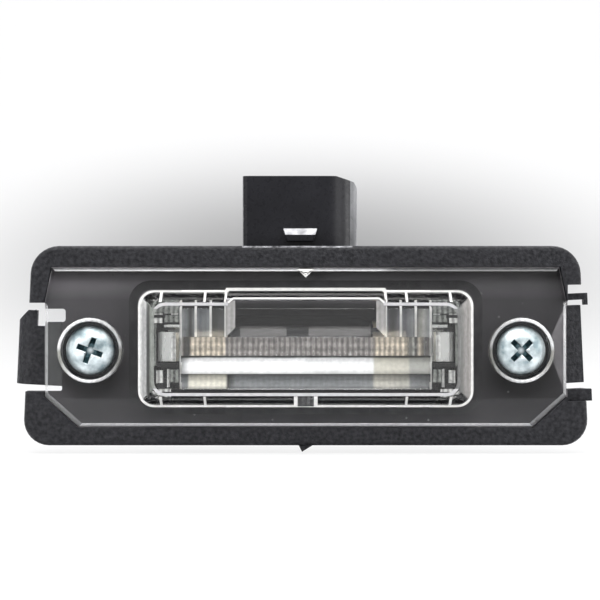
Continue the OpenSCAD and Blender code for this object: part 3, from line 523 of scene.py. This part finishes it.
def lens_zone(face):
    middle = face.calc_center_median() / MM
    across, out, up = abs(middle.x), -middle.y, middle.z
    facing = face.normal
    in_window = across < window_side and window_foot < up < window_top
    in_box = in_window and out > box_out
    wide = max(v.co.x for v in face.verts) - min(v.co.x for v in face.verts)
    deep = [-v.co.y / MM for v in face.verts]
    from_screw = [math.hypot(abs(v.co.x / MM) - screw_x, v.co.z / MM) for v in face.verts]
    # The counterbore round each screw gets painted shade.
    if max(from_screw) < well_r and min(deep) > well_out:
        return "well_shade"
    # Edges, gussets, ribs and the notch get painted highlights.
    if in_window and on_bead(deep, *outer_bead):
        return "painted_edge_highlight"
    # The inner rim gets a painted highlight, and painted reflection at the window's ends.
    if in_window and on_bead(deep, *inner_bead):
        return "painted_wall_light" if across > end_side and end_foot < up < end_top else "front_edge_highlight"
    at_gusset = any(abs(across - row) < gusset_half for row in gusset_rows)
    if in_box and at_gusset and wide < gusset_wide * MM and (up > gusset_top or up < gusset_foot):
        return "painted_edge_highlight"
    # The key's sides get painted highlights, and its face painted shade.
    if out > box_out and across < key_side and key_foot < up < key_top:
        return "painted_edge_highlight" if across > key_half else "key_face"
    at_rib = in_box and out < rib_out and any(abs(across - row) < rib_half for row in rib_rows)
    if at_rib and (up > bands_top or across > outer_ribs) and abs(facing.y) > 0.5:
        return "painted_edge_highlight"
    in_field = field_low < out < field_high and field_near < across < field_far and up > field_foot
    if in_field and abs(facing.y) > 0.995:
        return "rib_field"
    if abs(facing.y) > 0.995 and out > panel_out:
        return "clear_panel"
    if abs(facing.y) > 0.98:
        return "clear" if in_window else "plate_front"
    if across < notch_half and up > notch_foot:
        return "painted_edge_highlight"
    # The plate's top, bottom and side edges get painted highlights.
    if up > rim_top or up < rim_foot:
        return "clear" if facing.y > -0.1 else "plate_top_highlight" if up > 0 else "plate_edge_highlight"
    if across > rim_side or (across + abs(up) > rim_corner and up < 0):
        return "plate_side_highlight" if facing.y < -0.1 else "clear"
    # The window's end walls and inner walls get painted reflection.
    if across > end_side and abs(facing.x) > 0.7 and end_low < out < end_high:
        return "painted_wall_light"
    if wall_near < across < wall_far and out > wall_out and abs(facing.x) > 0.15:
        return "painted_wall_light"
    # The prism bands get the painted image of the bulb, with its highlights and shade.
    in_bands = across < bands_side and bands_low < out < bands_high and bands_foot < up < bands_top
    if in_bands and abs(facing.z) < 0.75:
        return "flute_band" if up > flutes_foot else "white_band" if up > white_foot else "low_band"
    return "clear"


# A clear plastic mixed with a share of an opaque one, whose tone changes across the lens by
# columns and up it by rows. Fine flutes and a grain break that tone up by the ripple, and the
# rows waver by so many millimetres.
def banded(name, columns, rows, share, ripple=0.0, waver=0.0, gloss=(0.08, 0.2), depth=0.004):
    material = clear(name, grey(0.9), 1.5, gloss, 500, depth)
    tree = material.node_tree
    place = tree.nodes["Texture Coordinate"].outputs["Object"]
    xyz = add_node(tree, "SeparateXYZ", {"Vector": place})
    cloud = add_node(tree, "TexNoise", {"Vector": place, "Scale": 170, "Detail": 4})
    drift = add_node(
        tree, "Math", {0: cloud.outputs["Fac"], 1: waver * MM, 2: xyz.outputs["Z"]},
        operation="MULTIPLY_ADD",
    )
    so_far = tone_along(tree, xyz.outputs["X"], columns)
    tones = [tone_along(tree, drift.outputs["Value"], rows)]
    flutes = add_node(tree, "TexWave", {"Vector": place, "Scale": 361, "Distortion": 1.5})
    fine = add_node(tree, "TexNoise", {"Vector": place, "Scale": 1500})
    for source, weak in ((flutes, ripple), (fine, ripple + 0.15)):
        strength = add_node(tree, "MapRange", {
            "Value": source.outputs["Fac"], "From Min": 0.2, "From Max": 0.8,
            "To Min": 1 - weak, "To Max": 1 + weak * 0.7,
        })
        tones.append(strength.outputs["Result"])
    for tone in tones:
        times = add_node(
            tree, "Mix", {"Factor": 1, "A": so_far, "B": tone}, data_type="RGBA", blend_type="MULTIPLY"
        )
        so_far = times.outputs["Result"]
    body = add_node(tree, "BsdfPrincipled", {
        "Base Color": so_far, "Roughness": 0.35, "Normal": tree.nodes["Bump"].outputs["Normal"],
    })
    blend = add_node(tree, "MixShader", {
        "Fac": share, 1: tree.nodes["Mix Shader"].outputs["Shader"], 2: body.outputs["BSDF"],
    })
    set_inputs(tree.nodes["Material Output"], {"Surface": blend.outputs["Shader"]})
    return material


# A clear plastic mixed with a share of one even painted tone.
def toned_clear(name, colour, share, ripple=0.0):
    return banded(name, [(-50, colour), (50, colour)], even_rows, share, ripple)


white, cream, beige, pewter = (1, 1, 1), (0.93, 0.9, 0.78), (0.66, 0.58, 0.47), (0.33, 0.305, 0.29)
dim, dark, slate = (0.36, 0.36, 0.33), (0.03, 0.03, 0.03), (0.24, 0.25, 0.255)
even_rows = [(-50, white), (50, white)]
lens_looks = {
    "clear": clear("lens_clear", (0.97, 0.975, 0.98), 1.5, (0.0, 0.03), 40, 0.004),
    "clear_panel": clear("lens_clear_panel", (0.95, 0.94, 0.94), 1.5, (0.0, 0.03), 40, 0.004),
    # Painted highlight: the window's edges, ribs, gussets and top bar are painted bright.
    "painted_edge_highlight": toned_clear("lens_painted_edge_highlight", (0.94, 0.93, 0.9), 0.8),
    # Painted highlights along the plate's edges; along the top, bright at the left and dimmer to the
    # right.
    "plate_edge_highlight": toned_clear("lens_plate_edge_highlight", grey(0.95), 0.85),
    "plate_top_highlight": banded(
        "lens_plate_top_highlight",
        [(-46, grey(0.75)), (-20, white), (12, white), (15, grey(0.4)), (46, grey(0.35))],
        even_rows, 0.85,
    ),
    # Painted shade: the counterbore round each screw is painted dark.
    "well_shade": toned_clear("lens_well_shade", (0.012, 0.015, 0.017), 0.7),
    "plate_side_highlight": toned_clear("lens_plate_side_highlight", grey(0.8), 0.3),
    # Painted reflection and shade: the walls are painted light grey, lighter at the left end, with a
    # dark line near it.
    "painted_wall_light": banded(
        "lens_painted_wall_light",
        [(-27.4, (0.75, 0.75, 0.74)), (-26.5, (0.66, 0.66, 0.65)), (-26.25, grey(0.07)),
         (-25.95, grey(0.07)), (-25.7, (0.28, 0.3, 0.27)), (-24.5, (0.34, 0.35, 0.33)),
         (-13.6, (0.36, 0.35, 0.34)), (13.6, (0.36, 0.35, 0.34)), (24.5, grey(0.2)),
         (25.8, (0.22, 0.22, 0.21)), (26.1, (0.38, 0.365, 0.35)), (27.4, (0.44, 0.42, 0.4))],
        even_rows, 0.7, 0.12,
    ),
    # Painted shade: the key's face is painted dark.
    "key_face": toned_clear("lens_key_face", grey(0.1), 0.6, 0.6),
    "frosted": toned_clear("lens_frosted", (0.19, 0.18, 0.175), 0.4, 0.1),
    # Painted highlight: the window's inner rim is painted light grey.
    "front_edge_highlight": toned_clear("lens_front_edge_highlight", (0.66, 0.65, 0.66), 0.72),
    # Painted glints, grey reflections and shade for the end bays seen through the lens.
    "end_painted_glint": toned_clear("lens_end_painted_glint", (0.6, 0.6, 0.58), 0.8, 0.4),
    "end_painted_grey": toned_clear("lens_end_painted_grey", (0.2, 0.21, 0.195), 0.72, 0.5),
    "end_painted_shade": toned_clear("lens_end_painted_shade", grey(0.012), 0.92, 0.1),
    # Painted light and shade: dark and light stripes across the rib field, lighter in its middle rows.
    "rib_field": banded(
        "lens_rib_field",
        [(-22, slate), (-20.2, slate), (-19, dark), (-18.3, slate), (-17.5, (0.12, 0.13, 0.14)),
         (-15.9, slate), (-15.4, dark), (-13.4, grey(0.1)), (0, dark), (13.4, (0.12, 0.12, 0.13)),
         (14.4, dark), (15.4, (0.12, 0.12, 0.13)), (16.4, (0.1, 0.1, 0.11)), (17.6, slate),
         (18.2, dark), (19.3, dim), (20.4, slate), (22, slate)],
        [(2, grey(0.6)), (4.5, grey(0.7)), (6, grey(0.9)), (8.2, grey(0.5))],
        0.85, 0.1, 2.0,
    ),
    # Painted image of the bulb behind the fluted band: caps as beige blocks, glass as grey, white
    # painted highlights and dark lines of painted shade.
    "flute_band": banded(
        "lens_flute_band",
        [(-22, pewter), (-20.4, pewter), (-20.2, dark), (-19.2, dark), (-19.0, beige),
         (-13.5, beige), (-13.1, pewter), (11.2, pewter), (11.6, beige), (16.6, beige),
         (16.9, dark), (17.6, dim), (18.2, dark), (19.0, beige), (19.5, dark), (22, pewter)],
        [(-0.9, dark), (-0.6, grey(0.7)), (-0.1, white), (0.35, grey(0.62)), (0.8, grey(0.7)),
         (1.2, white), (1.7, grey(0.6)), (2.4, grey(0.8))],
        0.88, 0.42, 0.35, (0.1, 0.3), 0.01,
    ),
    # Painted highlight: the middle band is painted white with the bulb's glare, its right cap in cream,
    # and painted shade along its edges.
    "white_band": banded(
        "lens_white_band",
        [(-22, slate), (-20.6, slate), (-19.2, white), (-1, white), (0.5, grey(0.9)),
         (11.1, grey(0.9)), (11.4, (0.58, 0.56, 0.48)), (16.9, (0.52, 0.5, 0.43)), (17.3, dim),
         (20.5, dim), (22, slate)],
        [(-4.3, dark), (-3.75, dark), (-3.6, (0.5, 0.5, 0.49)), (-3.2, grey(0.8)), (-2.8, white),
         (-1.1, white), (-0.8, dark)],
        0.95, 0.0, 0.4,
    ),
    # Painted image of the bulb behind the low band: caps as cream blocks, glass as slate grey, white in
    # the middle rows and dark at its edges.
    "low_band": banded(
        "lens_low_band",
        [(-22, slate), (-19.6, slate), (-19.3, cream), (-13.3, cream), (-12.9, dark),
         (-11.5, slate), (11.0, slate), (11.4, (0.62, 0.6, 0.53)), (17, (0.5, 0.49, 0.44)),
         (17.4, slate), (22, grey(0.12))],
        [(-6.4, dark), (-6.1, grey(0.5)), (-5.7, white), (-4.5, white), (-4.1, (0.6, 0.6, 0.58)),
         (-3.8, dark)],
        0.92, 0.05,
    ),
    "plate_front": clear("lens_plate_front", (0.97, 0.975, 0.98), 1.35, (0.0, 0.03), 60, 0.003),
    # Painted highlight: the collar is painted lighter at its top and outer side, and dim at mid height.
    "collar": banded(
        "lens_collar_highlight",
        [(-42, white), (-36, grey(0.9)), (-32, grey(0.5)), (31, grey(0.4)), (35, grey(0.7)),
         (38, white), (42, grey(0.7))],
        [(-6, grey(0.8)), (-3.5, grey(0.9)), (-1, dim), (1, dim), (2, white), (6, white)],
        0.75, 0.1, 2.0,
    ),
}
for quiet in ("plate_front", "clear_panel"):
    set_inputs(lens_looks[quiet].node_tree.nodes["Principled BSDF"], {"Specular IOR Level": 0.07})
zones = list(lens_looks)
for face in lens_shell.faces:
    face.material_index = zones.index(lens_zone(face))


# A closed ring with a round section, for the rim of each collar and the mark at the notch.
def bead(bm, path, out, thick, kind):
    normals = []
    for i in range(len(path)):
        back, ahead = Vector(path[i - 1]), Vector(path[(i + 1) % len(path)])
        run = (ahead - back).normalized()
        normals.append(Vector((run.y, -run.x)))
    sides = 8
    rings = []
    for k in range(sides):
        a = math.tau * k / sides
        ring = [
            bm.verts.new(((p[0] + n.x * thick * math.cos(a)) * MM, -(out + thick * math.sin(a)) * MM,
                          (p[1] + n.y * thick * math.cos(a)) * MM))
            for p, n in zip(path, normals)
        ]
        rings.append([bm.edges.new(pair) for pair in zip(ring, ring[1:] + ring[:1])])
    for near, far in zip(rings, rings[1:] + rings[:1]):
        made = bmesh.ops.bridge_loops(bm, edges=near + far)
        for face in made["faces"]:
            face.material_index = zones.index(kind)


# Low blocks stand inside each end of the window. They are painted light, grey and dark:
# painted glints, reflections and shade of the bay behind the lens. Each has its sides across,
# its foot and its top.
end_blocks = [
    (21.0, 25.3, 6.15, 7.7, "end_painted_grey"),
    (23.7, 25.3, 6.0, 6.25, "end_painted_glint"),
    (21.1, 22.2, 6.0, 6.25, "end_painted_glint"),
    (23.2, 25.3, 5.45, 5.95, "end_painted_shade"),
    (23.7, 25.3, 4.6, 5.5, "end_painted_glint"),
    (21.0, 23.4, 4.75, 5.9, "end_painted_grey"),
    (21.6, 24.3, 3.5, 3.8, "end_painted_shade"),
    (24.75, 25.3, -2.5, 4.5, "end_painted_grey"),
    (21.2, 24.6, -2.65, -2.1, "end_painted_shade"),
    (24.75, 25.3, -5.6, -2.7, "end_painted_shade"),
    (22.95, 25.3, -6.1, -5.6, "end_painted_shade"),
    (23.0, 23.5, -5.5, -4.5, "end_painted_shade"),
    (23.6, 24.7, -5.3, -3.2, "end_painted_glint"),
    (21.0, 22.4, -5.2, -3.1, "end_painted_grey"),
    (22.5, 22.9, -6.0, -3.0, "end_painted_glint"),
    (22.3, 25.2, -6.8, -6.3, "end_painted_glint"),
    (21.5, 22.3, -1.6, 2.6, "end_painted_glint"),
]
end_y, end_depth = -6.13, 0.85
lens_blocks = [
    (turn * (near + far) / 2, far - near, end_y, end_depth, low, high, 0, kind)
    for turn in (-1, 1) for near, far, low, high, kind in end_blocks
]
# A bar painted bright, a painted highlight, closes the panel at its top, with a short slanted
# foot at each end, and two frosted fields lie behind the panel.
bar_y, bar_depth, foot_slant = -8.6, 0.34, 40
frost_y, frost_depth = -6.35, 0.4
lens_blocks += [
    (0.07, 24.1, bar_y, bar_depth, 8.58, 8.84, 0, "painted_edge_highlight"),
    (-12.35, 1.05, bar_y, bar_depth, 8.2, 8.5, -foot_slant, "painted_edge_highlight"),
    (12.49, 1.05, bar_y, bar_depth, 8.2, 8.5, foot_slant, "painted_edge_highlight"),
    (-7.0, 7.6, frost_y, frost_depth, 2.7, 4.0, 0, "frosted"),
    (5.6, 10.2, frost_y, frost_depth, 2.7, 4.0, 0, "frosted"),
]
for middle_x, width, middle_y, depth, low, high, slant, kind in lens_blocks:
    block = bmesh.ops.create_cube(lens_shell, size=1)["verts"]
    bmesh.ops.scale(lens_shell, verts=block, vec=Vector((width, depth, high - low)) * MM)
    bmesh.ops.rotate(
        lens_shell, verts=block, cent=(0, 0, 0), matrix=Matrix.Rotation(math.radians(slant), 3, "Y")
    )
    bmesh.ops.translate(
        lens_shell, verts=block, vec=Vector((middle_x, middle_y, (low + high) / 2)) * MM
    )
    for face in {face for v in block for face in v.link_faces}:
        face.material_index = zones.index(kind)

collar_r, collar_out, collar_thick, collar_points = 5.15, 4.12, 0.29, 48
# Each screw's collar carries a painted highlight.
for turn in (-1, 1):
    round_collar = [
        (turn * screw_x + collar_r * math.sin(math.tau * i / collar_points),
         -collar_r * math.cos(math.tau * i / collar_points))
        for i in range(collar_points)
    ]
    bead(lens_shell, round_collar, collar_out, collar_thick, "collar")
# The mark at the notch is painted bright, a painted highlight.
mark_out, mark_thick = 3.7, 0.24
mark_outside = [(-1.25, 13.45), (1.25, 13.45), (0.0, 12.3)]
mark_inside = [(-0.6, 13.2), (0.6, 13.2), (0.0, 12.65)]
for mark in (mark_outside, mark_inside):
    bead(lens_shell, mark, mark_out, mark_thick, "painted_edge_highlight")
bmesh.ops.recalc_face_normals(lens_shell, faces=lens_shell.faces)

# Faces larger than this area are shaded flat, so that broad panes don't look domed.
pane_area = 3 * MM * MM
lens_shell.faces.index_update()
panes = [face.index for face in lens_shell.faces if face.calc_area() > pane_area]
lens = mesh_piece(lens_shell, "lens_moulding", lens_looks.values(), 14)
for index in panes:
    lens.data.polygons[index].use_smooth = False
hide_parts("lens")
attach(lens, "root")


# Screws
# Two zinc-plated tapping screws with pan heads and a cross recess, which is painted dark,
# painted shade, and bright round its axis, a painted highlight. The thread is rolled, and
# its neck is thinner, so they stay captive.
screw_zinc = finish(
    "screw_zinc", (0.2, 0.26, 0.28), (0.74, 0.81, 0.82), 480, (0.3, 0.48), 1300, 0.005, metallic=0.72
)
recess_painted_shade = finish(
    "screw_recess_painted_shade", (0.02, 0.05, 0.06), (0.12, 0.19, 0.21), 900, (0.3, 0.5), 2500, 0.01, metallic=1.0
)

# The recess is painted bright round the screw's own axis, a painted highlight, and dark further out,
# painted shade.
recess = recess_painted_shade.node_tree
recess_xyz = add_node(
    recess, "SeparateXYZ", {"Vector": recess.nodes["Texture Coordinate"].outputs["Object"]}
)
either_side = add_node(recess, "Math", {0: recess_xyz.outputs["X"]}, operation="ABSOLUTE")
from_axis = add_node(
    recess, "Math", {0: either_side.outputs[0], 1: screw_x * MM}, operation="SUBTRACT"
)
sideways = add_node(
    recess, "CombineXYZ", {"X": from_axis.outputs[0], "Z": recess_xyz.outputs["Z"]}
)
distance = add_node(recess, "VectorMath", {0: sideways.outputs[0]}, operation="LENGTH")
# Painted highlight: this factor paints the recess light near the axis.
painted_highlight = add_node(recess, "MapRange", {
    "Value": distance.outputs["Value"], "From Min": 0.15 * MM, "From Max": 0.7 * MM,
    "To Min": 0.8, "To Max": 0.0,
})
painted_centre = add_node(
    recess, "Mix",
    {
        "Factor": painted_highlight.outputs["Result"], "A": recess.nodes["Color Ramp"].outputs["Color"],
        "B": (0.78, 0.84, 0.86, 1),
    },
    data_type="RGBA",
)
set_inputs(recess.nodes["Principled BSDF"], {"Base Color": painted_centre.outputs["Result"]})

core_r, core_end, screw_end = 1.5, 10.6, 13.0
core_profile = [(-0.1, 0), (-0.1, core_r), (core_end, core_r), (12.7, 0.35), (screw_end, 0)]
thread_pitch, thread_r, thread_start, thread_end = 1.4, 2.1, 0.5, 10.4
thread_turns, thread_steps = 8.6, 28
run_in, run_in_slope, run_out, run_least = 0.78, 0.2, 2.9, 0.15


# The rolled thread along the X axis: one ridge that grows over its first turn and fades out
# along the point.
def rolled_thread():
    thread = bmesh.new()
    ridge = [(-0.38, core_r - 0.1), (-0.06, thread_r), (0.06, thread_r), (0.38, core_r - 0.1)]
    ring = [thread.verts.new((thread_start * MM + a * MM, 0, r * MM)) for a, r in ridge]
    for a, b in zip(ring, ring[1:] + ring[:1]):
        thread.edges.new((a, b))
    bmesh.ops.spin(
        thread, geom=thread.verts[:] + thread.edges[:], cent=(0, 0, 0), axis=(1, 0, 0),
        dvec=(thread_pitch * MM / thread_steps, 0, 0), angle=math.tau * thread_turns,
        steps=int(thread_steps * thread_turns),
    )
    bmesh.ops.holes_fill(thread, edges=[e for e in thread.edges if e.is_boundary])
    bmesh.ops.recalc_face_normals(thread, faces=thread.faces)
    for v in thread.verts:
        along = v.co.x / MM
        ends = min(1, run_in + along * run_in_slope, 1 - (along - thread_end) / run_out)
        v.co.y *= max(ends, run_least)
        v.co.z *= max(ends, run_least)
    return thread


# The faces of the recess are painted dark, and so are those of the neck in the lens's hole:
# painted shade. The solid's plain thread is cut off at the neck's end, and the core and the
# rolled thread take its place.
recess_r, recess_front, recess_back = 2.35, -4.25, -2.6
hole_r, hole_front, hole_back = 4, -2.2, -1
neck_cut = -0.05
for side, x, driven in (("left", -screw_x, 52), ("right", screw_x, 0)):
    screw_axis = Vector((x, 0, 0)) * MM
    screw = softened(f"screw_{side}", 0.12)
    bmesh.ops.rotate(
        screw, verts=screw.verts, cent=screw_axis,
        matrix=Matrix.Rotation(math.radians(-driven), 3, "Y"),
    )
    split(screw, (0, neck_cut * MM, 0), (0, 1, 0), clear_outer=True)
    bmesh.ops.holes_fill(screw, edges=[e for e in screw.edges if e.is_boundary])
    core = turned(core_profile, 32, screw_axis, "Y", closed=False)
    thread = rolled_thread()
    bmesh.ops.rotate(thread, verts=thread.verts, matrix=Matrix.Rotation(math.radians(90), 3, "Z"))
    bmesh.ops.translate(thread, verts=thread.verts, vec=screw_axis)
    for part in (core, thread):
        held = bpy.data.meshes.new("screw_part")
        part.to_mesh(held)
        part.free()
        screw.from_mesh(held)
        bpy.data.meshes.remove(held)
    for face in screw.faces:
        middle = face.calc_center_median() / MM
        away = math.hypot(middle.x - x, middle.z)
        in_recess = away < recess_r and recess_front < middle.y < recess_back
        in_hole = away < hole_r and hole_front < middle.y < hole_back
        face.material_index = int(in_recess or in_hole)
    piece = mesh_piece(screw, f"panel_screw_{side}", [screw_zinc, recess_painted_shade])
    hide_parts(f"screw_{side}")
    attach(piece, "root")


# Studio
# A plain pale floor that curves up behind the lamp, and soft lamps above and beside it.
# The floor and the sky look brighter to the camera than they light the lamp.
floor_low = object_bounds()[0][2] - 0.3 * MM
floor_front, floor_back, floor_half, wall_height = -0.2, 0.5, 2, 1.6
sweep_r, sweep_steps = 0.25, 12
path = [(floor_front, floor_low), (floor_back - sweep_r, floor_low)]
path += [
    (floor_back - sweep_r + sweep_r * math.sin(a), floor_low + sweep_r * (1 - math.cos(a)))
    for a in [math.radians(90 * i / sweep_steps) for i in range(1, sweep_steps + 1)]
]
path += [(floor_back, floor_low + wall_height)]
sweep = bmesh.new()
line = [sweep.verts.new((-floor_half, y, z)) for y, z in path]
edges = [sweep.edges.new(pair) for pair in zip(line, line[1:])]
drawn = bmesh.ops.extrude_edge_only(sweep, edges=edges)["geom"]
bmesh.ops.translate(
    sweep, verts=[v for v in drawn if isinstance(v, bmesh.types.BMVert)], vec=(2 * floor_half, 0, 0)
)
bmesh.ops.recalc_face_normals(sweep, faces=sweep.faces)
if sweep.faces[:][0].normal.z < 0:
    bmesh.ops.reverse_faces(sweep, faces=sweep.faces)

pale = bpy.data.materials.new("pale_floor")
pale.use_nodes = True
paint = pale.node_tree
matt = set_inputs(paint.nodes["Principled BSDF"], {"Base Color": (0.8, 0.8, 0.81, 1), "Roughness": 0.8})
# The glow is weaker close to the lamp, so that the lamp stands in a soft shade.
spot = add_node(paint, "TexCoord", {})
from_lamp = add_node(paint, "Mapping", {
    "Vector": spot.outputs["Object"], "Location": (0, -0.114, -0.02), "Scale": (0.38, 0.3, 1),
})
far = add_node(paint, "VectorMath", {0: from_lamp.outputs["Vector"]}, operation="LENGTH")
fade = add_node(
    paint, "MapRange",
    {
        "Value": far.outputs["Value"], "From Min": 0.005, "From Max": 0.06,
        "To Min": 0.3, "To Max": 1.0,
    },
    interpolation_type="SMOOTHSTEP",
)
glow = add_node(paint, "Emission", {"Color": fade.outputs["Result"]})

# The floor glows for rays from the camera and for those through the lens.
seen = add_node(paint, "LightPath", {})
seen_at_all = add_node(
    paint, "Math", {0: seen.outputs["Is Camera Ray"], 1: seen.outputs["Is Transmission Ray"]},
    operation="MAXIMUM",
)
glow_share = add_node(paint, "Math", {0: seen_at_all.outputs[0], 1: 0.85}, operation="MULTIPLY")
mixed = add_node(paint, "MixShader", {
    "Fac": glow_share.outputs[0], 1: matt.outputs["BSDF"], 2: glow.outputs["Emission"],
})
set_inputs(paint.nodes["Material Output"], {"Surface": mixed.outputs["Shader"]})
floor = mesh_piece(sweep, "studio_floor", [pale], 180)

world = bpy.data.worlds.new("studio")
bpy.context.scene.world = world
world.use_nodes = True
sky = world.node_tree
ambient = set_inputs(sky.nodes["Background"], {"Color": (0.93, 0.95, 1.0, 1), "Strength": 0.4})
shown = add_node(sky, "Background", {"Color": (1, 1, 1, 1)})
ray = add_node(sky, "LightPath", {})
first = add_node(
    sky, "Math", {0: ray.outputs["Is Camera Ray"], 1: ray.outputs["Is Transmission Ray"]},
    operation="MAXIMUM",
)
direct = add_node(sky, "MixShader", {
    "Fac": first.outputs[0], 1: ambient.outputs["Background"], 2: shown.outputs["Background"],
})
# What the lamp mirrors is darker straight in front of it, where the camera stands.
way = add_node(sky, "TexCoord", {})
way_xyz = add_node(sky, "SeparateXYZ", {"Vector": way.outputs["Generated"]})
front = add_node(
    sky, "MapRange",
    {
        "Value": way_xyz.outputs["Y"], "From Min": -0.95, "From Max": -0.5,
        "To Min": 0.7, "To Max": 1.15,
    },
    interpolation_type="SMOOTHSTEP",
)
mirror_sky = add_node(sky, "Background", {"Color": front.outputs["Result"]})
sky_all = add_node(sky, "MixShader", {
    "Fac": ray.outputs["Is Glossy Ray"], 1: direct.outputs["Shader"],
    2: mirror_sky.outputs["Background"],
})
set_inputs(sky.nodes["World Output"], {"Surface": sky_all.outputs["Shader"]})


def softbox(name, place, aim, size, watts):
    data = bpy.data.lights.new(name, "AREA")
    data.shape = "RECTANGLE"
    data.size, data.size_y = size
    data.energy = watts
    lamp = bpy.data.objects.new(name, data)
    lamp.location = place
    lamp.rotation_euler = (Vector(aim) - Vector(place)).to_track_quat("-Z", "Y").to_euler()
    bpy.context.scene.collection.objects.link(lamp)


softbox("key_above", (0.0, -0.3, 0.42), (0, 0, 0), (0.5, 0.3), 2.4)
softbox("strip_above", (0.0, -0.02, 0.4), (0, 0, 0), (0.6, 0.12), 1.3)
softbox("fill_left", (-0.5, -0.35, 0.1), (0, 0, 0), (0.25, 0.5), 0.9)
softbox("fill_right", (0.5, -0.3, 0.12), (0, 0, 0), (0.25, 0.5), 0.9)
softbox("strip_right", (0.45, 0.02, 0.06), (0, 0, 0.02), (0.12, 0.4), 0.8)
softbox("rim_back", (0.0, 0.3, 0.4), (0, 0, 0.02), (0.5, 0.2), 0.6)

scene = bpy.context.scene
scene.view_settings.view_transform = "Standard"
